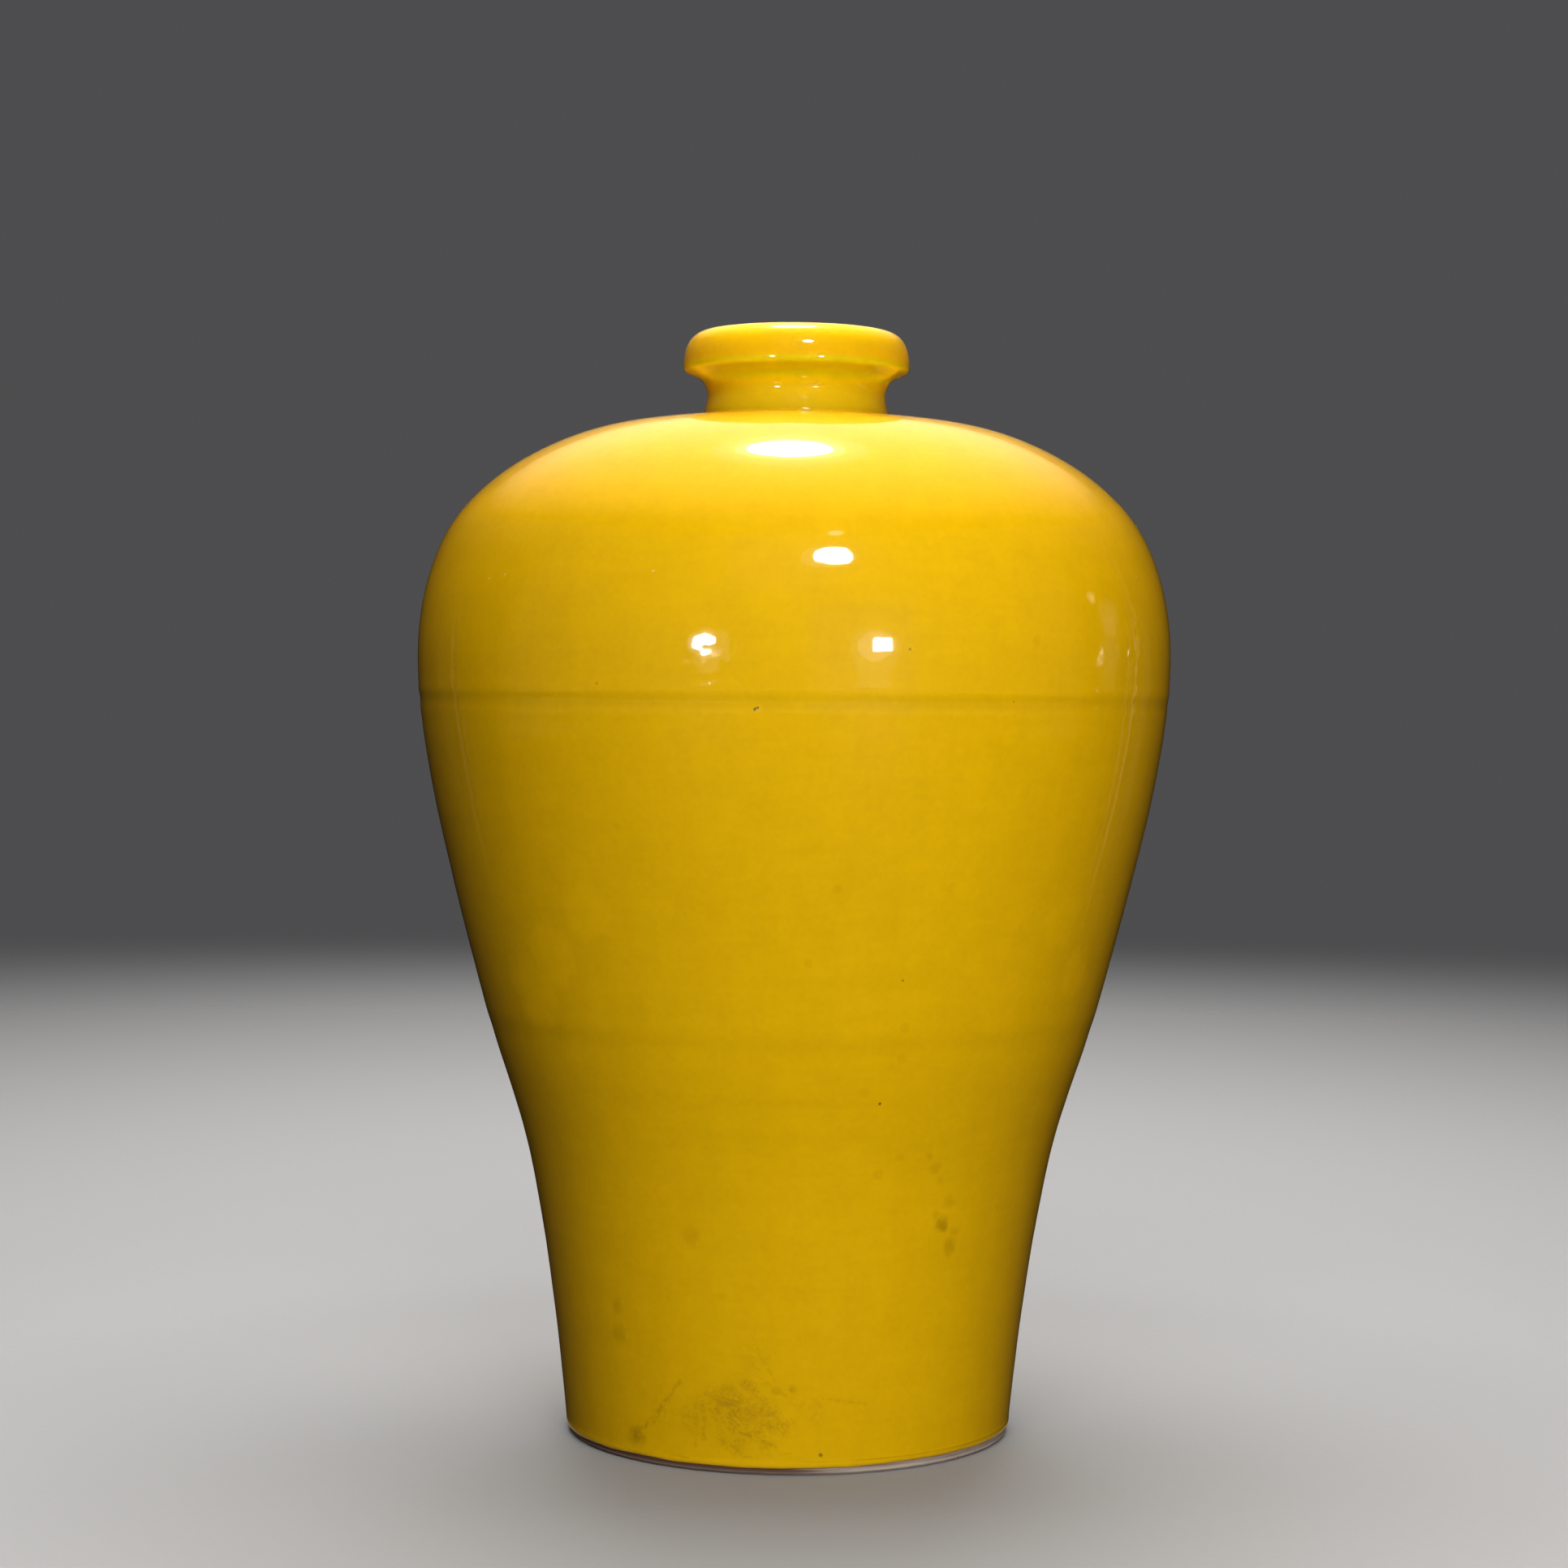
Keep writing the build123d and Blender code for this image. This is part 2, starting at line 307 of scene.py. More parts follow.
class Clay:
    """The clay's outline from the foot to the neck's seat, and its walls."""

    def __init__(self, sizes, walls):
        self.foot = at(sizes.foot_diameter / 2, sizes.foot_bevel)
        belly = at(sizes.belly_diameter / 2, sizes.belly_height)
        self.seat = at(sizes.neck_diameter / 2, sizes.shoulder_height)
        self.knots = [
            self.foot, *points_between(self.foot, belly, BODY_SHARES),
            belly, *points_between(belly, self.seat, SHOULDER_SHARES), self.seat,
        ]
        self.foot_along = Vector((sizes.foot_slope, 0, 1)).normalized()
        slopes = slopes_through(self.knots, self.foot_along, INWARD)
        self.alongs = [slope.normalized() for slope in slopes]
        self.normals = [square_to(slope) for slope in slopes]
        body_thinning = walls.belly_wall - walls.foot_wall
        shoulder_thinning = walls.shoulder_wall - walls.belly_wall
        self.walls = [
            walls.foot_wall,
            *(walls.foot_wall + body_thinning * up for up, _ in BODY_SHARES),
            walls.belly_wall,
            *(walls.belly_wall + shoulder_thinning * up for up, _ in SHOULDER_SHARES),
            walls.shoulder_wall,
        ]

    def foot_stretch(self, height, skin=0.0):
        """A point on the straight wall just above the foot, proud of the clay by a skin."""
        rise = (height - self.foot.z) / self.foot_along.z
        return self.foot + self.foot_along * rise + self.normals[0] * skin

    def skin_knots(self, skin):
        """The outline's knots between its ends, proud of the clay by a skin."""
        rows = list(zip(self.knots, self.normals))[1:-1]
        return [knot + normal * skin for knot, normal in rows]

    def wall_knots(self, skin):
        """The cavity's knots above the floor's corner, inside a skin."""
        rows = list(zip(self.knots, self.normals, self.walls))[1:]
        return [knot - normal * (wall + skin) for knot, normal, wall in rows]


def coat_edge(clay, glaze):
    """The rolled lower edge of the coat, from the clay out to the coat's face."""
    start = clay.foot_stretch(glaze.edge_height)
    end = clay.foot_stretch(glaze.roll_height, glaze.coat)
    easing = clay.foot_along * ((glaze.roll_height - glaze.edge_height) / 3)
    proud = start + clay.normals[0] * (glaze.coat + glaze.roll_extra) + easing
    return [
        round_corner(start, clay.normals[0], proud, clay.foot_along),
        (proud, proud + easing, end - easing, end),
    ]


def coat_body(clay, sizes, glaze):
    """The coat's face from its rolled edge to the pool in the neck's corner."""
    start = clay.foot_stretch(glaze.roll_height, glaze.coat)
    pool = at(
        sizes.neck_diameter / 2 + glaze.coat + glaze.pool_radius,
        sizes.shoulder_height + glaze.coat)
    return smooth_run([start, *clay.skin_knots(glaze.coat), pool], clay.foot_along, INWARD)


def coat_pool(sizes, glaze):
    """The glaze that pooled in the corner between the shoulder and the neck."""
    neck = sizes.neck_diameter / 2 + glaze.coat
    ground = sizes.shoulder_height + glaze.coat
    start = at(neck + glaze.pool_radius, ground)
    return round_corner(start, INWARD, at(neck, ground + glaze.pool_radius), UP)


def mouth_run(start, sizes, walls, skin):
    """The neck and the rolled lip from start down to the foot of the bore, proud by a skin."""
    waist = at(sizes.waist_diameter / 2 + skin, sizes.shoulder_height + sizes.waist_rise)
    root_height = sizes.shoulder_height + sizes.lip_root_rise
    root_along = Vector((cos(LIP_ROOT_ANGLE), 0, sin(LIP_ROOT_ANGLE)))
    root = at(sizes.lip_root_diameter / 2, root_height) + square_to(root_along) * skin
    side = at(sizes.lip_diameter / 2 + skin, root_height + sizes.lip_side_rise)
    crest = at(sizes.crest_diameter / 2, root_height + sizes.lip_height + skin)
    bore = sizes.bore_diameter / 2 - skin
    bore_top = at(bore, root_height + sizes.lip_height - sizes.bore_top_depth)
    bore_foot = at(bore, bore_foot_height(sizes, walls))
    return [
        (start, start + UP * NECK_HANDLE, waist - UP * NECK_HANDLE, waist),
        (waist, waist + UP * WAIST_HANDLE, root - root_along * ROOT_HANDLE, root),
        (root, root + root_along * UNDER_HANDLE, side - UP * SIDE_HANDLE, side),
        (side, side + UP * TOP_HANDLE, crest + OUTWARD * CREST_HANDLE, crest),
        round_corner(crest, INWARD, bore_top, -UP),
        straight(bore_top, bore_foot),
    ]


def bore_foot_height(sizes, walls):
    """Where the bore ends and rounds out into the cavity."""
    return sizes.shoulder_height - walls.shoulder_wall + sizes.bore_foot_rise


def cavity_run(clay, sizes, walls, skin):
    """The cavity from the foot of the bore down to the middle of the floor, inside a skin."""
    knots = clay.wall_knots(skin)
    wall = smooth_run(knots, clay.alongs[1], INWARD)
    bore_foot = at(sizes.bore_diameter / 2 - skin, bore_foot_height(sizes, walls))
    floor_height = walls.recess_depth + walls.floor_thickness + skin
    floor_edge = at(knots[0].x - walls.floor_corner, floor_height)
    return [
        round_corner(bore_foot, -UP, knots[-1], OUTWARD),
        *wall,
        round_corner(knots[0], -clay.alongs[1], floor_edge, INWARD),
        straight(floor_edge, at(0, floor_height)),
    ]


def only(piece):
    """Selects a piece by itself and makes it the active one."""
    bpy.ops.object.select_all(action="DESELECT")
    piece.select_set(True)
    bpy.context.view_layer.objects.active = piece


@contextmanager
def editing(piece):
    """Edit mode on one piece."""
    only(piece)
    bpy.ops.object.mode_set(mode="EDIT")
    yield
    bpy.ops.object.mode_set(mode="OBJECT")


def pick(piece, wanted):
    """Selects the points of a piece that are wanted, by their place."""
    mesh = piece.data
    mesh.polygons.foreach_set("select", [False] * len(mesh.polygons))
    mesh.edges.foreach_set("select", [False] * len(mesh.edges))
    mesh.vertices.foreach_set("select", [wanted(vertex.co) for vertex in mesh.vertices])


class Outline:
    """A section in the x-z plane, drawn as Bezier runs and turned into a piece."""

    def __init__(self, name):
        self.name = name
        self.runs = []

    def add(self, cubics, spacing):
        """Adds a run of cubics, with points about a spacing apart."""
        for cubic in cubics:
            reach = sum((b - a).length for a, b in zip(cubic, cubic[1:]))
            self.runs.append((cubic, max(1, round(reach / spacing))))

    def draw(self):
        """The outline as a piece of joined edges."""
        bpy.ops.object.select_all(action="DESELECT")
        bpy.ops.curve.primitive_bezier_curve_add(location=(0, 0, 0))
        piece = bpy.context.object
        splines = piece.data.splines
        splines.clear()
        for (start, leave, arrive, end), steps in self.runs:
            spline = splines.new("BEZIER")
            spline.bezier_points.add(1)
            spline.resolution_u = steps
            knots = (start, start, leave), (arrive, end, end)
            for knot, (left, place, right) in zip(spline.bezier_points, knots):
                knot.handle_left_type = knot.handle_right_type = "FREE"
                knot.handle_left, knot.co, knot.handle_right = left, place, right
        bpy.ops.object.convert(target="MESH")
        piece = bpy.context.object
        piece.name = piece.data.name = self.name
        with editing(piece):
            bpy.ops.mesh.select_all(action="SELECT")
            bpy.ops.mesh.remove_doubles(threshold=WELD)
        return piece


def swell(piece, place, shift, reach, falloff="SMOOTH"):
    """Moves the outline at a place by a shift that fades out over a reach."""
    nearest = min(piece.data.vertices, key=lambda vertex: (vertex.co - place).length).co.copy()
    pick(piece, lambda co: (co - nearest).length < WELD)
    with editing(piece):
        bpy.ops.transform.translate(
            value=shift, use_proportional_edit=True, use_proportional_connected=True,
            proportional_edit_falloff=falloff, proportional_size=reach)


def turn(piece, columns):
    """Turns an outline about the axis into a closed piece whose faces point outwards."""
    with editing(piece):
        bpy.ops.mesh.select_all(action="SELECT")
        bpy.ops.mesh.spin(steps=columns, angle=2 * pi, center=(0, 0, 0), axis=UP)
        bpy.ops.mesh.select_all(action="SELECT")
        bpy.ops.mesh.remove_doubles(threshold=WELD)
        bpy.ops.mesh.normals_make_consistent(inside=False)


def unsettle(piece, name, strength, scale, direction, middle, weight=None):
    """Pushes a piece's surface about by soft clouds, where it has weight."""
    clouds = bpy.data.textures.new(name, "CLOUDS")
    clouds.noise_scale = scale
    clouds.noise_depth = 1
    modifier = piece.modifiers.new(name, "DISPLACE")
    modifier.texture = clouds
    modifier.texture_coords = "LOCAL"
    modifier.direction = direction
    modifier.strength = strength
    modifier.mid_level = middle
    if weight:
        group = piece.vertex_groups.new(name=name)
        for vertex in piece.data.vertices:
            group.add([vertex.index], weight(vertex.co), "REPLACE")
        modifier.vertex_group = group.name
    only(piece)
    bpy.ops.object.modifier_apply(modifier=modifier.name)
    piece.vertex_groups.clear()
    bpy.data.textures.remove(clouds)


def smooth(piece, angle):
    """Shades a piece smooth, with crisp edges past an angle."""
    only(piece)
    bpy.ops.object.shade_smooth_by_angle(angle=angle)


def fade(value, start, end):
    """1 at start, 0 at end, and straight between."""
    return min(1.0, max(0.0, (end - value) / (end - start)))


class Field:
    """A value that varies over a surface. Arithmetic on it adds the shader's Math nodes."""

    def __init__(self, finish, socket):
        self.finish = finish
        self.socket = socket

    def __add__(self, other):
        return self.finish.math("ADD", self, other)

    def __radd__(self, other):
        return self.finish.math("ADD", other, self)

    def __sub__(self, other):
        return self.finish.math("SUBTRACT", self, other)

    def __rsub__(self, other):
        return self.finish.math("SUBTRACT", other, self)

    def __mul__(self, other):
        return self.finish.math("MULTIPLY", self, other)

    def __rmul__(self, other):
        return self.finish.math("MULTIPLY", other, self)

    def either(self, other):
        """The larger of two values."""
        return self.finish.math("MAXIMUM", self, other)

    def size(self):
        """The value without its sign."""
        return self.finish.math("ABSOLUTE", self)


class Finish:
    """One material, whose nodes are written as plain expressions."""

    def __init__(self, name):
        self.material = bpy.data.materials.new(name)
        self.material.use_nodes = True
        self.tree = self.material.node_tree
        self.tree.nodes.clear()
        self.place = self.add("ShaderNodeTexCoord", output="Object")
        self.x, self.y, self.z = (
            self.add("ShaderNodeSeparateXYZ", inputs={0: self.place}, output=axis)
            for axis in "XYZ"
        )

    def add(self, kind, settings=None, inputs=None, output=0):
        """A node of a kind, with its settings and the values or links of its sockets."""
        node = self.tree.nodes.new(kind)
        for name, setting in (settings or {}).items():
            setattr(node, name, setting)
        for name, value in (inputs or {}).items():
            if isinstance(value, Field):
                self.tree.links.new(value.socket, node.inputs[name])
            else:
                node.inputs[name].default_value = value
        return Field(self, node.outputs[output])

    def math(self, operation, *values, clamp=False):
        """A Math node."""
        settings = {"operation": operation, "use_clamp": clamp}
        return self.add("ShaderNodeMath", settings, dict(enumerate(values)))

    def vector(self, operation, *values, output=0):
        """A Vector Math node."""
        return self.add(
            "ShaderNodeVectorMath", {"operation": operation}, dict(enumerate(values)), output)

    def blend(self, share, first, second):
        """One colour fading into another by a share."""
        return self.add(
            "ShaderNodeMix", {"data_type": "RGBA"},
            {0: share, 6: opaque(first), 7: opaque(second)}, 2)

    def tint(self, tone, value):
        """A colour made lighter or darker by a value."""
        return self.vector("MULTIPLY", tone, self.grey(value))

    def grey(self, value):
        """A value on all three axes of a vector."""
        return self.add("ShaderNodeCombineXYZ", inputs={0: value, 1: value, 2: value})

    def stretched(self, *scales):
        """The place on the piece, stretched along each axis."""
        return self.vector("MULTIPLY", self.place, scales)

    def noise(self, scale, detail=2.0, place=None, roughness=0.5):
        """Soft noise about 0, whose grains are about 1 / scale metres across."""
        inputs = {"Vector": place or self.place, "Scale": scale, "Detail": detail,
                  "Roughness": roughness}
        return self.add("ShaderNodeTexNoise", None, inputs) - 0.5

    def step(self, value, start, end):
        """0 up to start, 1 from end on, and a soft step between."""
        return self.add(
            "ShaderNodeMapRange", {"interpolation_type": "SMOOTHSTEP"},
            {0: value, 1: start, 2: end, 3: 0.0, 4: 1.0})

    def near(self, centre, reach, place=None, core=0.0):
        """1 at a centre, and 0 past a reach from it."""
        away = self.vector("DISTANCE", place or self.place, centre, output="Value")
        return 1 - self.step(away, core, reach)

    def band(self, height, reach, core=0.0):
        """1 at a height, and 0 past a reach above and below it."""
        return 1 - self.step((self.z - height).size(), core, reach)

    def line(self, start, end, place, reach):
        """1 on the straight line from start to end, and 0 past a reach from it."""
        span = end - start
        offset = self.vector("SUBTRACT", place, start)
        along = self.vector("DOT_PRODUCT", offset, span, output="Value")
        along = self.math("MULTIPLY", along, 1 / span.dot(span), clamp=True)
        nearest = self.vector("MULTIPLY_ADD", self.grey(along), span, start)
        away = self.vector("DISTANCE", place, nearest, output="Value")
        return 1 - self.step(away, 0.0, reach)

    def bumped(self, height):
        """The surface's normal, tilted by a height in metres."""
        return self.add(
            "ShaderNodeBump", None, {"Strength": 1.0, "Distance": 1.0, "Height": height}, "Normal")

    def close(self, shader):
        """Sends a shader to the material's surface, and gives the material."""
        node = self.tree.nodes.new("ShaderNodeOutputMaterial")
        self.tree.links.new(shader.socket, node.inputs["Surface"])
        return self.material


def opaque(tone):
    """A colour as a Mix node takes it."""
    return tone if isinstance(tone, Field) else (*tone, 1.0)


def seam_height(slip_low, walls):
    """Where a seam's slip meets the outside, from the lowest corner of its ring."""
    return slip_low.z + walls.seam_gap / 2 / cos(SEAM_RISE)


def coat_radius(cubics, height):
    """The radius of the coat's face at a height on the body."""
    places = [point for cubic in cubics for point in interpolate_bezier(*cubic, SEARCH_POINTS)]
    return float(numpy.interp(height, [p.z for p in places], [p.x for p in places]))


# The clear shine of the glaze. Over it lies a faint bloom, whose tint stands for the way that
# light takes through the glaze, so that the vase looks deeper yellow towards its outline
GLAZE_IOR = 1.5
BLOOM_IOR = 1.07
BLOOM_ROUGHNESS = 0.40
BLOOM_TINT = (0.975, 0.92, 0.78, 1.0)
# Marks in the yellow glaze, each an azimuth in degrees, a height and a reach in metres, and
# how strongly it shows. Pinholes are dark dots of iron.
PINHOLES = (
    (-5.3, 0.2171, 0.00065, 0.9),
    (-4.9, 0.2174, 0.00055, 0.8),
    (16.0, 0.2336, 0.00055, 0.7),
    (32.4, 0.2198, 0.00050, 0.5),
    (-19.6, 0.2185, 0.00045, 0.4),
    (-28.4, 0.2237, 0.00045, 0.4),
    (18.6, 0.1430, 0.00055, 0.6),
    (16.9, 0.1079, 0.00060, 0.9),
    (8.1, 0.0062, 0.00090, 0.7),
)
# Pale dots where a grain of sand stands up through the glaze. Their pale colour is a painted
# highlight, for the glaze's sparkle in the light
SPARKLE_GRAINS = (
    (-20.3, 0.2542, 0.0005, 0.8),
    (-50.8, 0.2530, 0.0005, 0.9),
    (-47.0, 0.2540, 0.0005, 0.7),
    (-62.0, 0.2496, 0.0005, 0.7),
    (-11.6, 0.2239, 0.0005, 0.8),
    (63.0, 0.2560, 0.0005, 0.7),
    (67.0, 0.2600, 0.0005, 0.8),
    (-66.0, 0.2570, 0.0005, 0.7),
)
# Dim round spots under the surface
SPOTS = (
    (36.1, 0.2365, 0.0018, 0.8),
    (6.8, 0.1684, 0.0016, 1.0),
    (2.7, 0.1480, 0.0017, 1.0),
    (-26.9, 0.1850, 0.0012, 1.0),
    (25.0, 0.1687, 0.0017, 0.8),
    (19.9, 0.1297, 0.0018, 1.0),
    (20.0, 0.1207, 0.0018, 0.9),
    (13.7, 0.1111, 0.0019, 0.8),
    (22.3, 0.0921, 0.0018, 0.9),
    (18.2, 0.0874, 0.0018, 1.2),
    (-15.0, 0.0518, 0.0018, 0.8),
    (-2.5, 0.0251, 0.0018, 1.6),
    (1.4, 0.0256, 0.0016, 1.3),
)
# Olive-brown smears from handling, on the lower body
SMEARS = (
    (29.4, 0.0922, 0.0026, 0.35),
    (31.0, 0.0885, 0.0026, 0.35),
    (32.5, 0.0850, 0.0024, 0.22),
    (36.0, 0.0780, 0.0030, 0.30),
    (32.8, 0.0744, 0.0022, 0.55),
    (34.6, 0.0713, 0.0032, 1.00),
    (38.7, 0.0689, 0.0026, 0.30),
    (37.6, 0.0645, 0.0032, 0.60),
    (-43.4, 0.0459, 0.0034, 0.40),
    (-43.3, 0.0373, 0.0040, 0.40),
    (-21.7, 0.0687, 0.0040, 0.30),
    (-40.4, 0.0075, 0.0042, 0.60),
    (-12.0, 0.0170, 0.0160, 0.22),
    (-20.0, 0.0130, 0.0120, 0.14),
)
# The scuffed place near the foot
SCUFFS = (
    (-13.5, 0.0192, 0.0100, 1.0),
    (-18.0, 0.0200, 0.0070, 0.7),
    (-9.2, 0.0260, 0.0040, 0.9),
    (-6.3, 0.0167, 0.0090, 0.9),
    (-1.5, 0.0150, 0.0070, 0.6),
    (-3.0, 0.0250, 0.0022, 0.8),
    (1.5, 0.0256, 0.0018, 0.9),
    (-12.8, 0.0106, 0.0065, 0.8),
    (-4.7, 0.0086, 0.0028, 0.9),
    (-22.3, 0.0160, 0.0090, 0.40),
    (-31.0, 0.0180, 0.0100, 0.30),
    (-39.5, 0.0085, 0.0040, 0.9),
    (5.0, 0.0195, 0.0090, 0.30),
    (-7.0, 0.0330, 0.0110, 0.22),
)
# Single scratches: azimuth and height at both ends, reach and strength
SCRATCHES = (
    ((-26.3, 0.0261), (-34.4, 0.0129), 0.0011, 0.45),
    ((-30.2, 0.0198), (-40.6, 0.0069), 0.0013, 0.55),
    ((-20.4, 0.0205), (-20.3, 0.0099), 0.0012, 0.55),
    ((-22.2, 0.0194), (-22.6, 0.0077), 0.0010, 0.35),
    ((-14.3, 0.0194), (8.6, 0.0202), 0.0010, 0.40),
    ((-11.1, 0.0126), (-3.1, 0.0091), 0.0013, 0.70),
    ((-9.5, 0.0262), (-1.5, 0.0155), 0.0009, 0.40),
    ((-7.5, 0.0295), (0.5, 0.0225), 0.0008, 0.30),
    ((-15.0, 0.0235), (-5.0, 0.0125), 0.0008, 0.45),
    ((-6.0, 0.0205), (-12.0, 0.0105), 0.0008, 0.40),
    ((-2.0, 0.0215), (-8.0, 0.0135), 0.0008, 0.35),
    ((8.0, 0.0230), (19.0, 0.0205), 0.0010, 0.25),
    ((-7.0, 0.0369), (-3.2, 0.0279), 0.0011, 0.25),
    ((-40.8, 0.0032), (-23.9, 0.0040), 0.0006, 0.45),
    ((-11.2, 0.0054), (0.8, 0.0068), 0.0006, 0.40),
)
# Places where the surface is uneven, so that a lamp's image breaks up
RIPPLES = (
    (-12.5, 0.2345, 0.020, 1.0),
    (55.0, 0.2350, 0.026, 0.8),
    (-58.0, 0.2350, 0.026, 0.4),
)
# Places where the glaze ran thin and looks paler
THIN_PLACES = (
    (-51.0, 0.1370, 0.013, 1.0),
    (-44.0, 0.1480, 0.011, 0.8),
    (-35.0, 0.1600, 0.010, 0.6),
    (58.0, 0.1420, 0.010, 0.9),
    (50.0, 0.1580, 0.010, 0.5),
)
# The lean, in radians, and the fineness of the lines that rubbing left
RUBBING_LINES = ((0.75, 1000), (-0.50, 1100), (1.50, 900))
# Bands of another tone round the glaze, each with how far it reaches up and down
SEAM_DROP = 0.0002
SEAM_BAND = 0.0030
SEAM_CORE = 0.0006
LOWER_SEAM_DROP = 0.0006
LOWER_SEAM_BAND = 0.0040
SECOND_LINE_DROP = 0.018
SECOND_LINE_BAND = 0.0022
FOOT_LINE_HEIGHT = 0.0043
FOOT_LINE_BAND = 0.00045
EDGE_LINE_BAND = 0.0007
# The band under the lip and the band in the neck's hollow mark where painted shade goes
UNDER_LIP_RISE = 0.0005
UNDER_LIP_BAND = 0.0042
UNDER_LIP_CORE = 0.0018
HOLLOW_BAND = 0.009
HOLLOW_CORE = 0.005
# The glaze's fine relief, and between which depths under the neck's seat it calms down
PEEL = 0.000036
FINE_PEEL = 0.000005
DRAWN_PEEL = 0.000036
RIPPLE = 0.000150
THROWN_RELIEF = 0.000005
PINHOLE_SINK = 0.00006
GRAIN_RISE = 0.00005
SCUFF_SINK = 0.00001
CALM_START = 0.036
CALM_END = 0.010
CALM_SHARE = 0.85


class GlazeFinish(Finish):
    """The glossy yellow glaze, with its clouds, specks, smears and scuffs."""

    def __init__(self, cubics, tones, heights):
        super().__init__("yellow_glaze")
        self.cubics = cubics
        self.tones = tones
        self.heights = heights

    def on_coat(self, azimuth, height):
        """The place on the coat at an azimuth and a height."""
        radius = coat_radius(self.cubics, height)
        turned = radians(azimuth)
        return Vector((radius * sin(turned), -radius * cos(turned), height))

    def marks(self, rows, place, core_share=0.0):
        """How strongly any of the marks in rows shows."""
        total = None
        for azimuth, height, reach, strength in rows:
            centre = self.on_coat(azimuth, height)
            mark = self.near(centre, reach, place, reach * core_share) * strength
            total = total.either(mark) if total else mark
        return total

    def wobbled(self, scale, reach):
        """The place on the coat, moved about a little so that marks aren't round."""
        noise = self.add(
            "ShaderNodeTexNoise", None, {"Vector": self.place, "Scale": scale}, "Color")
        moved = self.vector("SUBTRACT", noise, (0.5, 0.5, 0.5))
        return self.vector("MULTIPLY_ADD", moved, (reach,) * 3, self.place)

    def scratched(self, place):
        """How strongly any of the single scratches shows."""
        total = None
        for start, end, reach, strength in SCRATCHES:
            line = self.line(self.on_coat(*start), self.on_coat(*end), place, reach) * strength
            total = total.either(line) if total else line
        return total

    def rubbing(self):
        """Fine crossing lines with a dense stipple between them, 0 to 1."""
        total = None
        for lean, scale in RUBBING_LINES:
            turned = self.add(
                "ShaderNodeVectorRotate", {"rotation_type": "AXIS_ANGLE"},
                {"Vector": self.place, "Axis": (0, 1, 0), "Angle": lean})
            stretched = self.vector("MULTIPLY", turned, (scale, scale, scale / 12))
            line = self.step(self.noise(1, 1.0, stretched), 0.02, 0.14)
            total = total.either(line) if total else line
        stipple = self.step(self.noise(1300, 2.0), -0.09, 0.10)
        clumps = self.step(self.noise(300, 3.0), -0.24, 0.06)
        return (0.55 * total + 0.55 * stipple) * clumps

    def body_tone(self):
        """How much lighter or darker than its plain colour the glaze is."""
        return (
            1
            + 0.09 * self.noise(16, 3.0)
            + 0.11 * self.noise(100, 3.0, roughness=0.6)
            + 0.09 * self.noise(520, 2.0)
            + 0.06 * self.noise(1, 2.0, self.stretched(60, 60, 300))
            + 0.07 * self.noise(1, 3.0, self.stretched(150, 150, 30))
            + 0.03 * self.noise(1, 3.0, self.stretched(4, 4, 260))
        )

    def built(self):
        tones, heights = self.tones, self.heights
        pinholes = self.marks(PINHOLES, self.wobbled(1500, 0.0006), 0.35)
        grain_sparkles = self.marks(SPARKLE_GRAINS, self.place)
        spots = self.marks(SPOTS, self.wobbled(500, 0.0008), 0.6)
        smears = self.marks(SMEARS, self.wobbled(260, 0.0045), 0.15)
        rubbed = self.marks(SCUFFS, self.wobbled(180, 0.006)) * self.rubbing()
        scratched = self.scratched(self.wobbled(220, 0.0016))
        scuffed = rubbed.either(scratched * self.step(self.noise(700, 2.0), -0.15, 0.10))
        thin = self.marks(THIN_PLACES, self.wobbled(120, 0.012), 0.5)
        ripples = self.marks(RIPPLES, self.place, 0.3)

        seam = self.band(heights["seam"] - SEAM_DROP, SEAM_BAND, SEAM_CORE)
        seam = seam * (0.8 + 0.8 * self.noise(26))
        below = 1 - self.step(self.z, heights["seam"] - 0.003, heights["seam"] + 0.002)
        lower_seam = self.band(heights["lower_seam"] - LOWER_SEAM_DROP, LOWER_SEAM_BAND)
        lower_seam = lower_seam * (0.6 + 1.6 * self.noise(20))
        second_line = self.band(heights["lower_seam"] - SECOND_LINE_DROP, SECOND_LINE_BAND)
        second_line = second_line * self.step(self.noise(14), 0.0, 0.12)
        foot_line = self.band(FOOT_LINE_HEIGHT, FOOT_LINE_BAND)
        foot_line = foot_line * self.step(self.noise(22), -0.06, 0.08)
        edge_line = self.band(heights["edge"], EDGE_LINE_BAND)
        # Painted shade: under the lip and in the neck's hollow the yellow gives way to a greener,
        # darker copy
        under_lip_shade = self.band(heights["lip_root"] + UNDER_LIP_RISE, UNDER_LIP_BAND, UNDER_LIP_CORE)
        hollow = self.band(heights["waist"], HOLLOW_BAND, HOLLOW_CORE) * 0.35

        tone = self.body_tone() + 0.10 * thin - 0.11 * seam - 0.02 * below
        tone = tone - 0.06 * lower_seam - 0.03 * second_line
        paint = self.blend(under_lip_shade.either(hollow), tones.yellow, tones.bounce_shade_yellow)
        paint = self.tint(paint, tone)
        paint = self.blend(foot_line * 0.45, paint, tones.stain)
        paint = self.blend(edge_line * 0.35, paint, tones.stain)
        paint = self.blend(spots * 0.09, paint, tones.stain)
        paint = self.blend(smears * 0.50, paint, tones.stain)
        paint = self.blend(scuffed * 0.62, paint, tones.stain)
        paint = self.blend(pinholes, paint, tones.speck)
        # Painted highlight: the sparkle over the grains is painted pale
        paint = self.blend(grain_sparkles, paint, tones.grain)

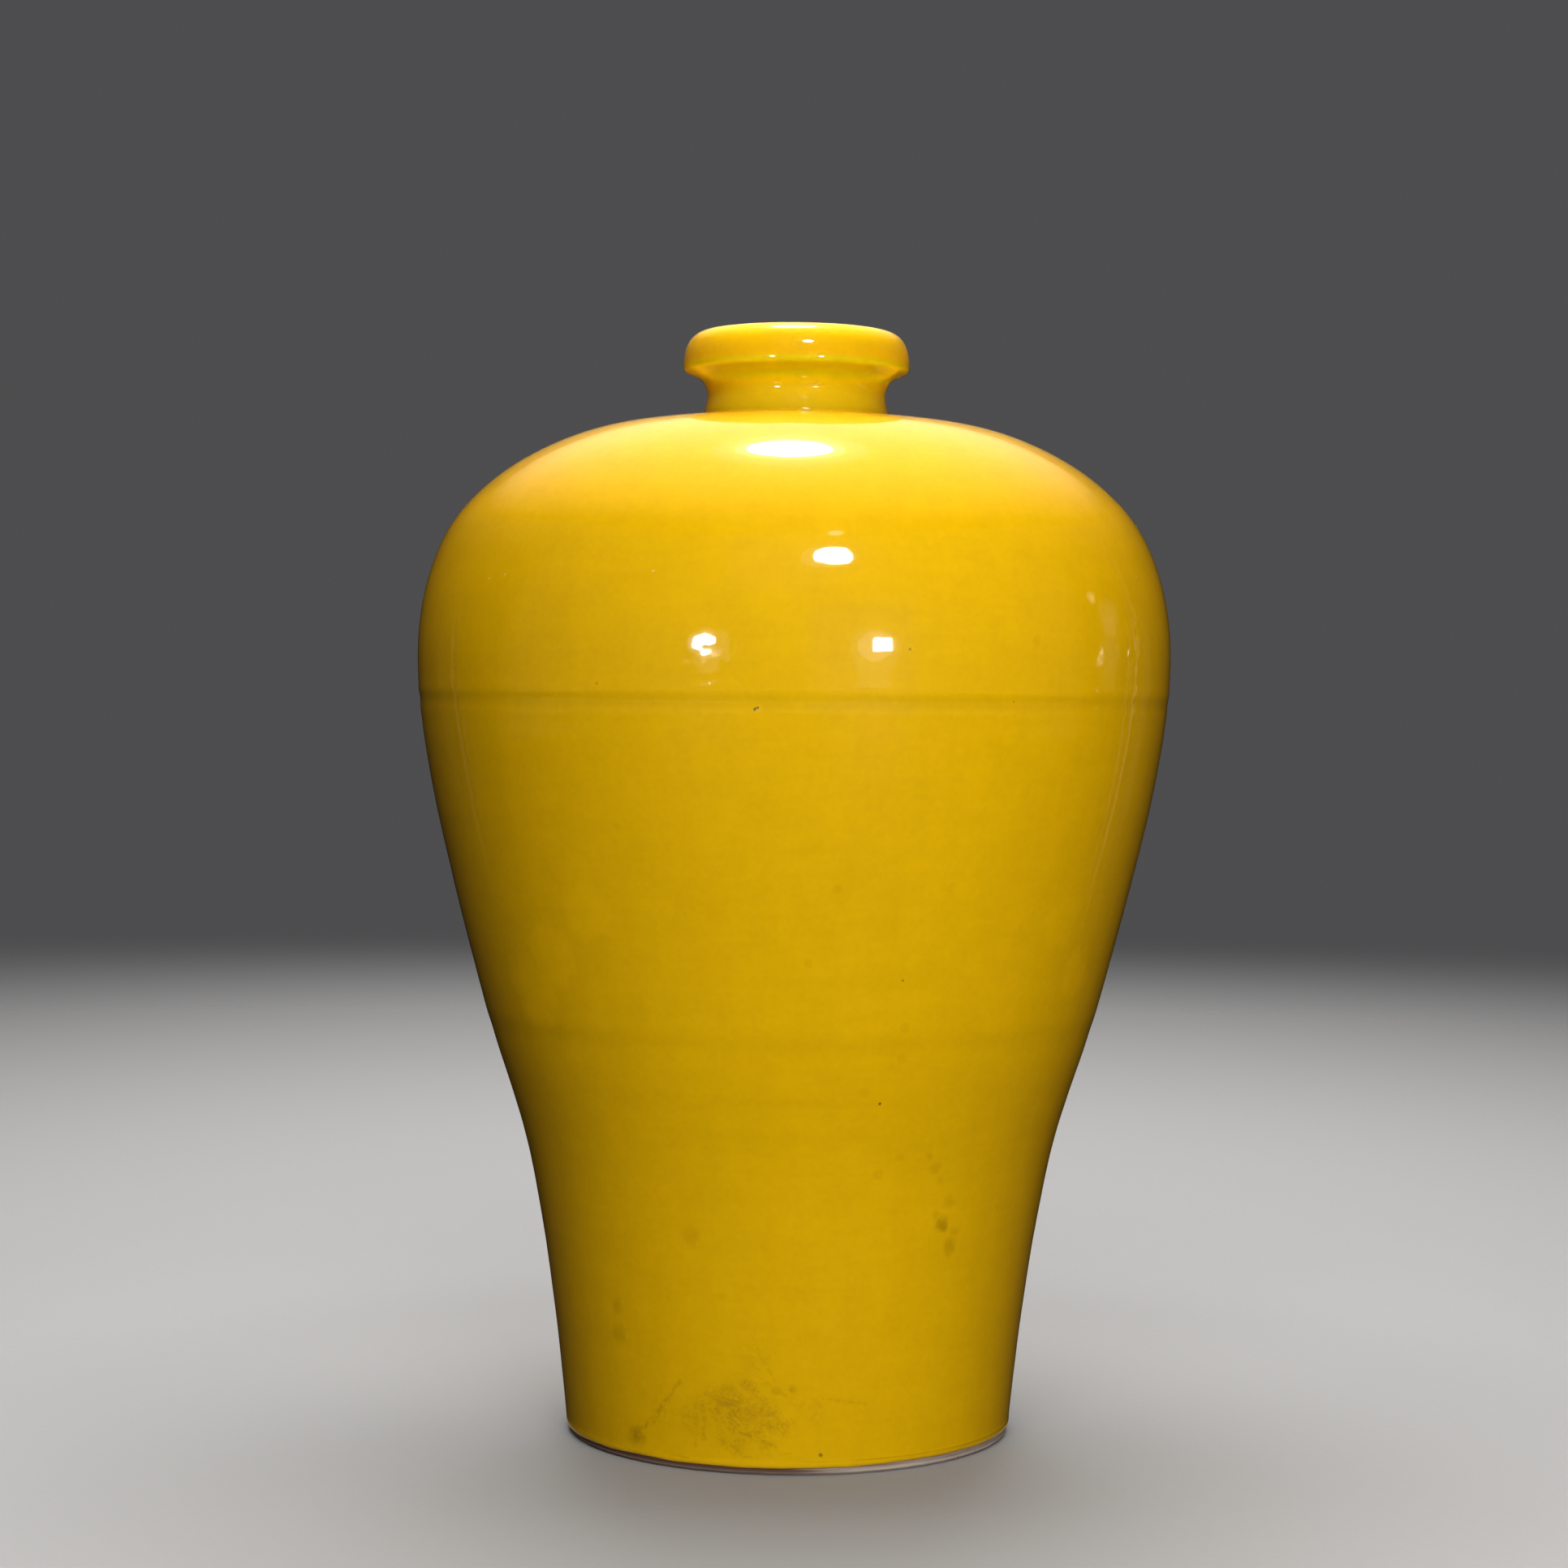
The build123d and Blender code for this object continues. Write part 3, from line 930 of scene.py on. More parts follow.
        gloss = tones.gloss + (0.30 * scuffed).either(0.2 * pinholes)
        peel = PEEL * self.noise(120, 0.0) + FINE_PEEL * self.noise(380, 0.0)
        peel = peel + DRAWN_PEEL * self.noise(1, 1.0, self.stretched(150, 150, 26))
        peel = peel + ripples * RIPPLE * self.noise(170, 1.0)
        calm = self.step(
            self.z, heights["shoulder"] - CALM_START, heights["shoulder"] - CALM_END)
        thrown = THROWN_RELIEF * self.noise(1, 2.0, self.stretched(4, 4, 260))
        relief = peel * (1 - CALM_SHARE * calm) + thrown
        relief = relief - PINHOLE_SINK * pinholes + GRAIN_RISE * grain_sparkles - SCUFF_SINK * scuffed
        shader = self.add(
            "ShaderNodeBsdfPrincipled", None,
            {"Base Color": paint, "Roughness": gloss, "IOR": GLAZE_IOR,
             "Normal": self.bumped(relief), "Coat Weight": 1.0,
             "Coat Roughness": BLOOM_ROUGHNESS, "Coat IOR": BLOOM_IOR,
             "Coat Tint": BLOOM_TINT})
        return self.close(shader)


# How the bare foot bends light, which hardly shines, and how the other clay and the lining do
CLAY_IOR = 1.3
FIRED_IOR = 1.5
# The foot passes from toasted to rubbed pale between these places, from left to right
RUBBED_START = -0.020
RUBBED_END = 0.055
# Between these radii the base passes from the ring into its recess
RECESS_START = 0.052
RECESS_END = 0.0565
# The relief of the bare clay, and of the rings under a thin coat
TURNED_RELIEF = 0.00003
WIPED_RELIEF = 0.00002
GRIT_RELIEF = 0.00003
RING_RELIEF = 0.00001


class ClayFinish(Finish):
    """Unglazed fired clay."""

    def bare(self, tones):
        """Bare clay: toasted at the foot, streaked by wiping, with grit and kiln specks."""
        wiped = self.noise(1, 4.0, self.stretched(22, 22, 700), 0.6)
        around = self.noise(9, 1.0)
        side = self.step(self.x + 0.05 * around, RUBBED_START, RUBBED_END)
        rubbed = self.step(wiped + 0.42 * side - 0.20, -0.08, 0.30)
        under = 1 - self.step(self.z, 0.0004, 0.0016)
        grit = self.step(self.noise(900, 2.0), 0.16, 0.24)
        soot = self.step(self.noise(60, 3.0), 0.16, 0.34)
        radius = self.math("SQRT", self.x * self.x + self.y * self.y)
        groove_place = self.add(
            "ShaderNodeCombineXYZ", None, {0: radius * 1400, 1: self.z * 300, 2: 0.0})
        turned = self.noise(1, 2.0, groove_place)
        recess = 1 - self.step(radius, RECESS_START, RECESS_END)
        paint = self.blend(rubbed, tones.toasted, tones.rubbed)
        paint = self.blend(under * 0.45, paint, tones.rubbed)
        paint = self.blend(recess * 0.75, paint, tones.paste)
        tone = 1 + 0.25 * turned + 0.30 * self.noise(35, 4.0)
        paint = self.tint(paint, tone)
        paint = self.blend(soot * 0.35, paint, tones.toasted)
        paint = self.blend(grit * 0.55, paint, tones.speck)
        grain = self.noise(700, 3.0)
        relief = TURNED_RELIEF * turned + WIPED_RELIEF * wiped + GRIT_RELIEF * grain
        shader = self.add(
            "ShaderNodeBsdfPrincipled", None,
            {"Base Color": paint, "Roughness": 0.85 + 0.2 * self.noise(120, 2.0), "IOR": CLAY_IOR,
             "Normal": self.bumped(relief)})
        return self.close(shader)

    def fired(self, tone, gloss, grain, grain_depth):
        """Fired clay, slip or lining of one tone, with a soft mottle and fine grain."""
        mottle = self.noise(28, 4.0)
        fine = self.noise(grain, 3.0)
        rings = self.noise(1, 2.0, self.stretched(6, 6, 260))
        paint = self.tint(tone, 1 + 0.16 * mottle + 0.08 * fine)
        shader = self.add(
            "ShaderNodeBsdfPrincipled", None,
            {"Base Color": paint, "Roughness": gloss + 0.1 * mottle, "IOR": FIRED_IOR,
             "Normal": self.bumped(grain_depth * fine + RING_RELIEF * rings)})
        return self.close(shader)


def dress(piece, material):
    """Gives a new piece its one material."""
    piece.data.materials.clear()
    piece.data.materials.append(material)


# The profile across the belly seam: height from the seam, and how proud, as a share
SEAM_STEPS = ((0.0026, 0.6), (-0.0002, -1.0), (-0.0034, 0.35))
# Throwing rings outside: height, and depth as a share, which is negative in a hollow
THROWING_RINGS = (
    (0.030, -0.8), (0.043, 0.7), (0.058, -1.0), (0.071, 0.9), (0.085, -0.7), (0.099, 1.0),
    (0.127, 1.6), (0.121, -1.8), (0.141, -0.8), (0.156, 0.6), (0.170, -0.9), (0.186, 0.8),
    (0.201, -0.6), (0.214, -1.4), (0.228, -0.7), (0.245, -0.8), (0.259, -1.0), (0.272, 0.9),
    (0.284, -0.6),
)
THROWING_RING_REACH = 0.006
# How coarsely the wall and the coat's edge wander, and over which heights that fades, under
# the neck's seat and above the edge
WALL_CLOUDS = 0.045
WALL_FADE = 0.03
EDGE_CLOUDS = 0.016
EDGE_FADE = 0.006
# The coat's edge is lifted on the right, past this place, and the lift fades over this reach
LIFT_START = 0.055
LIFT_REACH = 0.09


class VASE_OT_yellow_coat(Operator):
    """Glazes the outside and the mouth, with the seam, the throwing rings and the wavy edge"""

    bl_idname = "vase.yellow_coat"
    bl_label = "Yellow coat"

    def execute(self, context):
        scene = context.scene
        sizes, walls, glaze = scene.vase_sizes, scene.vase_walls, scene.vase_glaze
        clay = Clay(sizes, walls)
        body = coat_body(clay, sizes, glaze)
        outline = Outline("yellow_coat")
        outline.add(coat_edge(clay, glaze), COAT_EDGE_STEP)
        outline.add(body, COAT_STEP)
        pool = coat_pool(sizes, glaze)
        outline.add([pool], POOL_STEP)
        mouth = mouth_run(pool[-1], sizes, walls, glaze.coat)
        outline.add(mouth[:-1], LIP_STEP)
        outline.add(mouth[-1:], BORE_STEP)
        neck_foot = at(sizes.neck_diameter / 2, sizes.shoulder_height + sizes.slip_thickness)
        under = mouth_run(neck_foot, sizes, walls, 0)
        outline.add([straight(mouth[-1][-1], under[-1][-1])], COAT_END_STEP)
        outline.add(under, HIDDEN_LIP_STEP)
        outline.add([straight(neck_foot, clay.seat)], HIDDEN_NECK_STEP)
        edge = clay.foot_stretch(glaze.edge_height)
        outline.add(smooth_run([edge, *clay.knots[1:]], clay.foot_along, INWARD), HIDDEN_STEP)
        piece = outline.draw()

        seam = seam_height(BELLY_SLIP_LOW, walls)
        lower_seam = seam_height(LOWER_SLIP_LOW, walls)
        for height, depth_share in SEAM_STEPS:
            swell(
                piece, at(coat_radius(body, seam + height), seam + height),
                OUTWARD * glaze.seam_ridge * depth_share, glaze.seam_reach)
        for height, depth_share in THROWING_RINGS:
            swell(
                piece, at(coat_radius(body, height), height),
                OUTWARD * glaze.ring_depth * depth_share, THROWING_RING_REACH)
        turn(piece, scene.vase_studio.columns)
        self.unsettle_coat(piece, glaze, sizes)
        smooth(piece, COAT_CREASE)

        heights = {
            "seam": seam,
            "lower_seam": lower_seam,
            "edge": glaze.edge_height,
            "shoulder": sizes.shoulder_height,
            "waist": sizes.shoulder_height + sizes.waist_rise,
            "lip_root": sizes.shoulder_height + sizes.lip_root_rise,
        }
        dress(piece, GlazeFinish(body, scene.vase_finishes, heights).built())
        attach(piece, "root")
        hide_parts("outer_glaze")
        return {"FINISHED"}

    def unsettle_coat(self, piece, glaze, sizes):
        """Makes the coat wander as a hand-thrown and hand-dipped one does."""
        top = sizes.shoulder_height

        def wall_weight(co):
            return 1 - fade(co.z, top, top - WALL_FADE) if co.z < top else 0.0

        def edge_weight(co):
            return fade(co.z, glaze.edge_height, glaze.edge_height + EDGE_FADE)

        pick(piece, lambda co: co.z < glaze.edge_height + WELD and co.x > LIFT_START)
        with editing(piece):
            bpy.ops.transform.translate(
                value=UP * glaze.edge_lift, use_proportional_edit=True,
                proportional_edit_falloff="SMOOTH", proportional_size=LIFT_REACH)
        unsettle(piece, "wall_wander", glaze.wander, WALL_CLOUDS, "NORMAL", 1.0, wall_weight)
        unsettle(piece, "edge_wander", glaze.edge_wander, EDGE_CLOUDS, "Z", 0.5, edge_weight)


# How deeply and how coarsely the foot ring is worn, below which height, and how far from its
# outer corner the wear begins to fade and ends
WEAR_DEPTH = 0.00018
WEAR_CLOUDS = 0.004
WEAR_TOP = 0.001
WEAR_CORE = 0.0008
WEAR_REACH = 0.0016
# How the turned grooves of the base differ in depth: least share, spread, and their beat
GROOVE_LEAST = 0.6
GROOVE_SPREAD = 0.4
GROOVE_BEAT = 2.3


class VASE_OT_bare_foot(Operator):
    """Makes the thrown foot section, with its bare ring and the turned, recessed base"""

    bl_idname = "vase.bare_foot"
    bl_label = "Bare foot"

    def execute(self, context):
        scene = context.scene
        sizes, walls, glaze = scene.vase_sizes, scene.vase_walls, scene.vase_glaze
        clay = Clay(sizes, walls)
        ring_outer = sizes.foot_diameter / 2
        ring_inner = ring_outer - walls.ring_width
        recess_edge = at(ring_inner - walls.recess_corner, walls.recess_depth)
        recess_foot = at(ring_inner, walls.recess_depth - walls.recess_corner)
        ring_points = [
            recess_foot,
            at(ring_inner, walls.ring_bevel),
            at(ring_inner + walls.ring_bevel, 0),
            at(ring_outer - sizes.foot_bevel, 0),
            clay.foot,
        ]
        outline = Outline("bare_foot")
        outline.add(turned_grooves(recess_edge, glaze), GROOVE_STEP)
        outline.add([round_corner(recess_edge, OUTWARD, recess_foot, -UP)], GROOVE_STEP)
        outline.add(
            [straight(a, b) for a, b in zip(ring_points, ring_points[1:])], FOOT_RING_STEP)
        outline.add(smooth_run(clay.knots, clay.foot_along, INWARD), CLAY_STEP)
        seat_inner = at(sizes.bore_diameter / 2, sizes.shoulder_height)
        outline.add([straight(clay.seat, seat_inner)], SEAT_STEP)
        cavity = cavity_run(clay, sizes, walls, 0)
        outline.add([straight(seat_inner, cavity[0][0])], SEAT_STEP)
        outline.add(cavity, CLAY_STEP)
        piece = outline.draw()
        self.cut_at_seam(piece, clay, walls)
        turn(piece, scene.vase_studio.columns)

        def wear(co):
            away = abs((co.x * co.x + co.y * co.y) ** 0.5 - ring_outer)
            return fade(away, WEAR_CORE, WEAR_REACH) if co.z < WEAR_TOP else 0.0

        unsettle(piece, "worn_ring", WEAR_DEPTH, WEAR_CLOUDS, "Z", 0.0, wear)
        smooth(piece, FOOT_CREASE)
        dress(piece, ClayFinish("bare_clay").bare(scene.vase_finishes))
        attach(piece, "root")
        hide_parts("foot_section")
        return {"FINISHED"}

    def cut_at_seam(self, piece, clay, walls):
        """Cuts the outline along the slanted seam and closes it there."""
        into = Vector((-cos(SEAM_RISE), 0, sin(SEAM_RISE)))
        upwards = Vector((sin(SEAM_RISE), 0, cos(SEAM_RISE)))
        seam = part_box("lower_luting_slip")[0]
        skin = smooth_run(clay.knots, clay.foot_along, INWARD)
        skin_points = [
            point for cubic in skin for point in interpolate_bezier(*cubic, SEARCH_POINTS)]
        outer = min(skin_points, key=lambda point: abs(point.z - seam.z))
        with editing(piece):
            bpy.ops.mesh.select_all(action="SELECT")
            bpy.ops.mesh.bisect(plane_co=outer, plane_no=upwards, clear_outer=True)
        cut = [vertex.co.copy() for vertex in piece.data.vertices
               if abs((vertex.co - outer).dot(upwards)) < WELD]
        if len(cut) != 2:
            raise RuntimeError(f"the seam cuts the wall at {len(cut)} places, not at 2")
        pick(piece, lambda co: min((co - point).length for point in cut) < WELD)
        with editing(piece):
            bpy.ops.mesh.edge_face_add()


def turned_grooves(end, glaze):
    """Shallow grooves from the middle of the base out to the recess's corner."""
    count = round(end.x / glaze.turning_pitch)
    pitch = end.x / count
    grooves = []
    for index in range(count):
        start, stop = at(pitch * index, end.z), at(pitch * (index + 1), end.z)
        depth_share = GROOVE_LEAST + GROOVE_SPREAD * sin(index * GROOVE_BEAT)
        sink = UP * glaze.turning_depth * depth_share
        leave, arrive = start + OUTWARD * pitch / 3 + sink, stop + INWARD * pitch / 3 + sink
        grooves.append((start, leave, arrive, stop))
    return grooves


# Throwing rings inside: their pitch, which of them there are, how far they stray from it, how
# far each reaches as a share of the pitch, and how their depth differs
INNER_RING_PITCH = 0.0085
INNER_RINGS = range(4, 31)
INNER_RING_STRAY = 0.0016
INNER_RING_REACH = 0.6
INNER_RING_LEAST = 0.7
INNER_RING_SPREAD = 0.3
STRAY_BEAT = 1.7
DEPTH_BEAT = 2.9
# The rings on the floor: how many parts they cut its radius into, and how far each reaches
FLOOR_PARTS = 6
FLOOR_RING_REACH = 0.005
LINING_COLUMNS = 160
# The lining's shine, and the fineness and depth of its grain
LINING_GLOSS = 0.12
LINING_GRAIN = 160
LINING_GRAIN_DEPTH = 0.00003


class VASE_OT_lining(Operator):
    """Lines the cavity with clear glaze, over the throwing rings and the beads of the seams"""

    bl_idname = "vase.lining"
    bl_label = "Clear lining"

    def execute(self, context):
        scene = context.scene
        sizes, walls, glaze = scene.vase_sizes, scene.vase_walls, scene.vase_glaze
        clay = Clay(sizes, walls)
        inner = cavity_run(clay, sizes, walls, glaze.lining)
        outer = cavity_run(clay, sizes, walls, 0)
        outline = Outline("clear_lining")
        outline.add(inner[:1], BORE_ROUND_STEP)
        outline.add(inner[1:-1], LINING_STEP)
        outline.add(inner[-1:], LINING_FLOOR_STEP)
        outline.add([straight(inner[0][0], outer[0][0])], COAT_END_STEP)
        outline.add(outer, HIDDEN_STEP)
        piece = outline.draw()
        wall = inner[1:-2]
        bead = walls.bead_radius + glaze.lining
        for node in ("lower_luting_slip", "belly_luting_slip"):
            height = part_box(node)[1].z - walls.bead_radius
            swell(piece, at(coat_radius(wall, height), height), INWARD * bead, bead, "SPHERE")
        for index in INNER_RINGS:
            height = INNER_RING_PITCH * index + INNER_RING_STRAY * sin(index * STRAY_BEAT)
            depth_share = INNER_RING_LEAST + INNER_RING_SPREAD * sin(index * DEPTH_BEAT)
            swell(
                piece, at(coat_radius(wall, height), height),
                INWARD * (glaze.inner_ring_depth * depth_share),
                INNER_RING_PITCH * INNER_RING_REACH)
        floor_edge = inner[-1][0]
        for index in range(1, FLOOR_PARTS):
            radius = floor_edge.x * index / FLOOR_PARTS
            swell(
                piece, at(radius, floor_edge.z), UP * glaze.inner_ring_depth, FLOOR_RING_REACH)
        turn(piece, LINING_COLUMNS)
        smooth(piece, LINING_CREASE)
        dress(piece, ClayFinish("clear_glaze").fired(
            scene.vase_finishes.lining, LINING_GLOSS, LINING_GRAIN, LINING_GRAIN_DEPTH))
        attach(piece, "root")
        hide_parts("inner_glaze")
        return {"FINISHED"}


# The shine, and the fineness and depth of the grain, of the clay and the slip
BODY_FINISH = (0.75, 500, 0.00004)
SLIP_FINISH = (0.85, 900, 0.00003)


class VASE_OT_hidden_clay(Operator):
    """Gives the thrown sections and the slip under the glaze their fired finishes"""

    bl_idname = "vase.hidden_clay"
    bl_label = "Clay and slip"

    def execute(self, context):
        tones = context.scene.vase_finishes
        body = ClayFinish("body_clay").fired(tones.paste, *BODY_FINISH)
        slip = ClayFinish("luting_slip").fired(tones.slip, *SLIP_FINISH)
        for name in ("lower_body", "upper_body", "neck_and_mouth"):
            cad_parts[name].material_slots[0].material = body
        for name in ("lower_luting_slip", "belly_luting_slip", "neck_luting_slip"):
            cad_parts[name].material_slots[0].material = slip
        return {"FINISHED"}


# The camera's small turns, and the width of its sensor in millimetres
CAMERA_YAW = radians(0.158)
CAMERA_PITCH = radians(1.40)
CAMERA_ROLL = radians(0.50)
SENSOR_WIDTH = 36.0
# The floor: its radius, where it begins to fade, and by which share of its radius it has gone
FLOOR_RADIUS = 2.4
FLOOR_FADE = 0.45
FLOOR_FADE_SHARE = 0.9
FLOOR_STEP = 0.2
FLOOR_COLUMNS = 96
FLOOR_ROUGHNESS = 0.6
# The dark cards at both sides: between which azimuths they come in, over which angle they
# reach, how far off and how high they stand
CARD_START = radians(70)
CARD_FULL = radians(84)
CARD_SWEEP = radians(106)
CARD_REACH = 0.30
CARD_HEIGHT = 0.45
# Pale upright streaks that glow on the cards, so that the glaze mirrors them: azimuth and half
# width in degrees, and level
CARD_STREAKS = ((105.0, 1.3, 0.42), (101.2, 1.0, 0.20), (112.0, 6.0, 0.05))
# Small pale spots that glow on the right card, so that the glaze mirrors them: azimuth, height,
# reach and level
CARD_SPOTS = (
    (85.5, 0.306, 0.012, 2.8), (86.5, 0.240, 0.010, 5.0), (85.4, 0.231, 0.008, 3.6),
    (85.6, 0.209, 0.006, 1.8), (100.6, 0.239, 0.005, 5.0), (100.9, 0.211, 0.005, 1.0),
    (91.5, 0.275, 0.034, 0.55), (90.0, 0.236, 0.040, 0.30),
)
LEFT_STREAK_SHARE = 0.35
# The streaks come in between two heights, and are dimmed by a share between two others
STREAK_IN = (0.06, 0.18)
STREAK_OUT = (0.24, 0.29)
STREAK_DIMMING = 0.7
# Above this share of its height a card fades out
CARD_FADE_SHARE = 0.7
CARD_MIDDLE = 0.1
CARD_COLUMNS = 24
CARD_TONE = (1.0, 0.92, 0.70)
# The dark cloth on the floor, which shows in the gloss alone
CLOTH_RADIUS = 1.6
CLOTH_LIFT = 0.0005
CLOTH_HOLE = 0.070
CLOTH_FADE_SHARE = 0.6
CLOTH_STEP = 0.4
CLOTH_COLUMNS = 64
# Wide soft panels that show in the gloss alone. Each has its middle, how it is tipped, how far
# it glows to the sides, how much further along its length, and how bright it is
PANELS = (
    ("overhead_panel", (0.0, 1.4, 1.25), (pi, 0, 0), 1.45, 1.7, 1.5),
    ("back_panel", (0.0, 2.4, 0.80), (pi / 2, 0, 0), 1.15, 0.9, 0.45),
)
PANEL_PARTS = 8
# A panel is clear where it glows less than this
PANEL_EDGE_GLOW = 0.01
# The flag over the mouth, which keeps the overhead lamp from bleaching the lip
FLAG_HEIGHT = 0.380
FLAG_RADIUS = 0.024
FLAG_POINTS = 48
DARK = (0.002, 0.002, 0.002, 1)
DARK_ROUGHNESS = 0.9
# Large lamps that light the vase but don't show in its gloss: azimuth and elevation in
# degrees, distance, size, and level as a share
SOFT_LAMPS = (
    ("key_soft_lamp", 19.0, 7.0, 0.80, 0.40, 6.8),
    ("high_soft_lamp", -4.5, 37.0, 1.80, 0.90, 6.1),
    ("top_soft_lamp", 180.0, 75.0, 1.90, 1.50, 6.6),
    ("near_soft_lamp", 180.0, 89.5, 0.285, 0.060, 18.0),
    ("left_soft_lamp", -35.0, 0.0, 1.60, 0.80, 0.6),
    ("left_rear_soft_lamp", -100.0, 45.0, 1.60, 0.80, 0.6),
    ("right_rear_soft_lamp", 100.0, 30.0, 1.60, 0.80, 0.2),
    ("back_soft_lamp", 180.0, 24.0, 2.00, 1.30, 3.6),
)
# The small lamp close above the mouth, with its dim rims: size, and level as a share
OVERHEAD_PLACE = Vector((-0.0038, 0, 0.450))
OVERHEAD_LAMPS = (
    ("overhead_lamp", 0.056, 1.0), ("overhead_rim", 0.072, 0.12), ("overhead_halo", 0.104, 0.03),
)
# Small lamps that only the gloss shows, and their dim faces, in the same terms, with how tall
# each is as a share of its width, and its shape
GLINT_LAMPS = (
    ("high_lamp", 12.5, 39.0, 1.50, 0.235, 0.70, "ELLIPSE", 1.0),
    ("high_face", 9.8, 38.6, 1.55, 0.34, 0.7, "ELLIPSE", 0.010),
    ("high_ghost", 15.0, 50.0, 1.30, 0.067, 1.0, "ELLIPSE", 0.05),
    ("left_lamp", -24.2, 6.0, 1.50, 0.13, 1.0, "SQUARE", 0.8),
    ("left_face", -25.5, 5.5, 1.55, 0.28, 1.0, "DISK", 0.025),
    ("left_glow", -25.0, 5.0, 1.60, 0.40, 1.0, "DISK", 0.008),
    ("right_lamp", 24.7, 6.0, 1.50, 0.122, 1.0, "SQUARE", 1.0),
    ("right_face", 23.0, 5.5, 1.55, 0.27, 1.0, "DISK", 0.020),
    ("right_glow", 22.5, 4.5, 1.60, 0.42, 1.0, "DISK", 0.006),
)


def from_centre(azimuth, elevation):
    """The direction at an azimuth and an elevation, in degrees."""
    turned, lifted = radians(azimuth), radians(elevation)
    return Vector((sin(turned) * cos(lifted), -cos(turned) * cos(lifted), sin(lifted)))


def lamp(name, place, target, size, level, shape="SQUARE", flat=1.0):
    """An area lamp of a size that faces a target, whose face has a level of brightness."""
    rotation = (target - place).to_track_quat("-Z", "Y").to_euler()
    bpy.ops.object.light_add(type="AREA", location=place, rotation=rotation)
    light = bpy.context.object
    light.name = light.data.name = name
    light.data.shape = shape
    light.data.size = size
    light.data.size_y = size * flat
    round_share = pi / 4 if shape in ("DISK", "ELLIPSE") else 1.0
    light.data.energy = level * pi * size * size * flat * round_share
    light.visible_camera = False
    return light


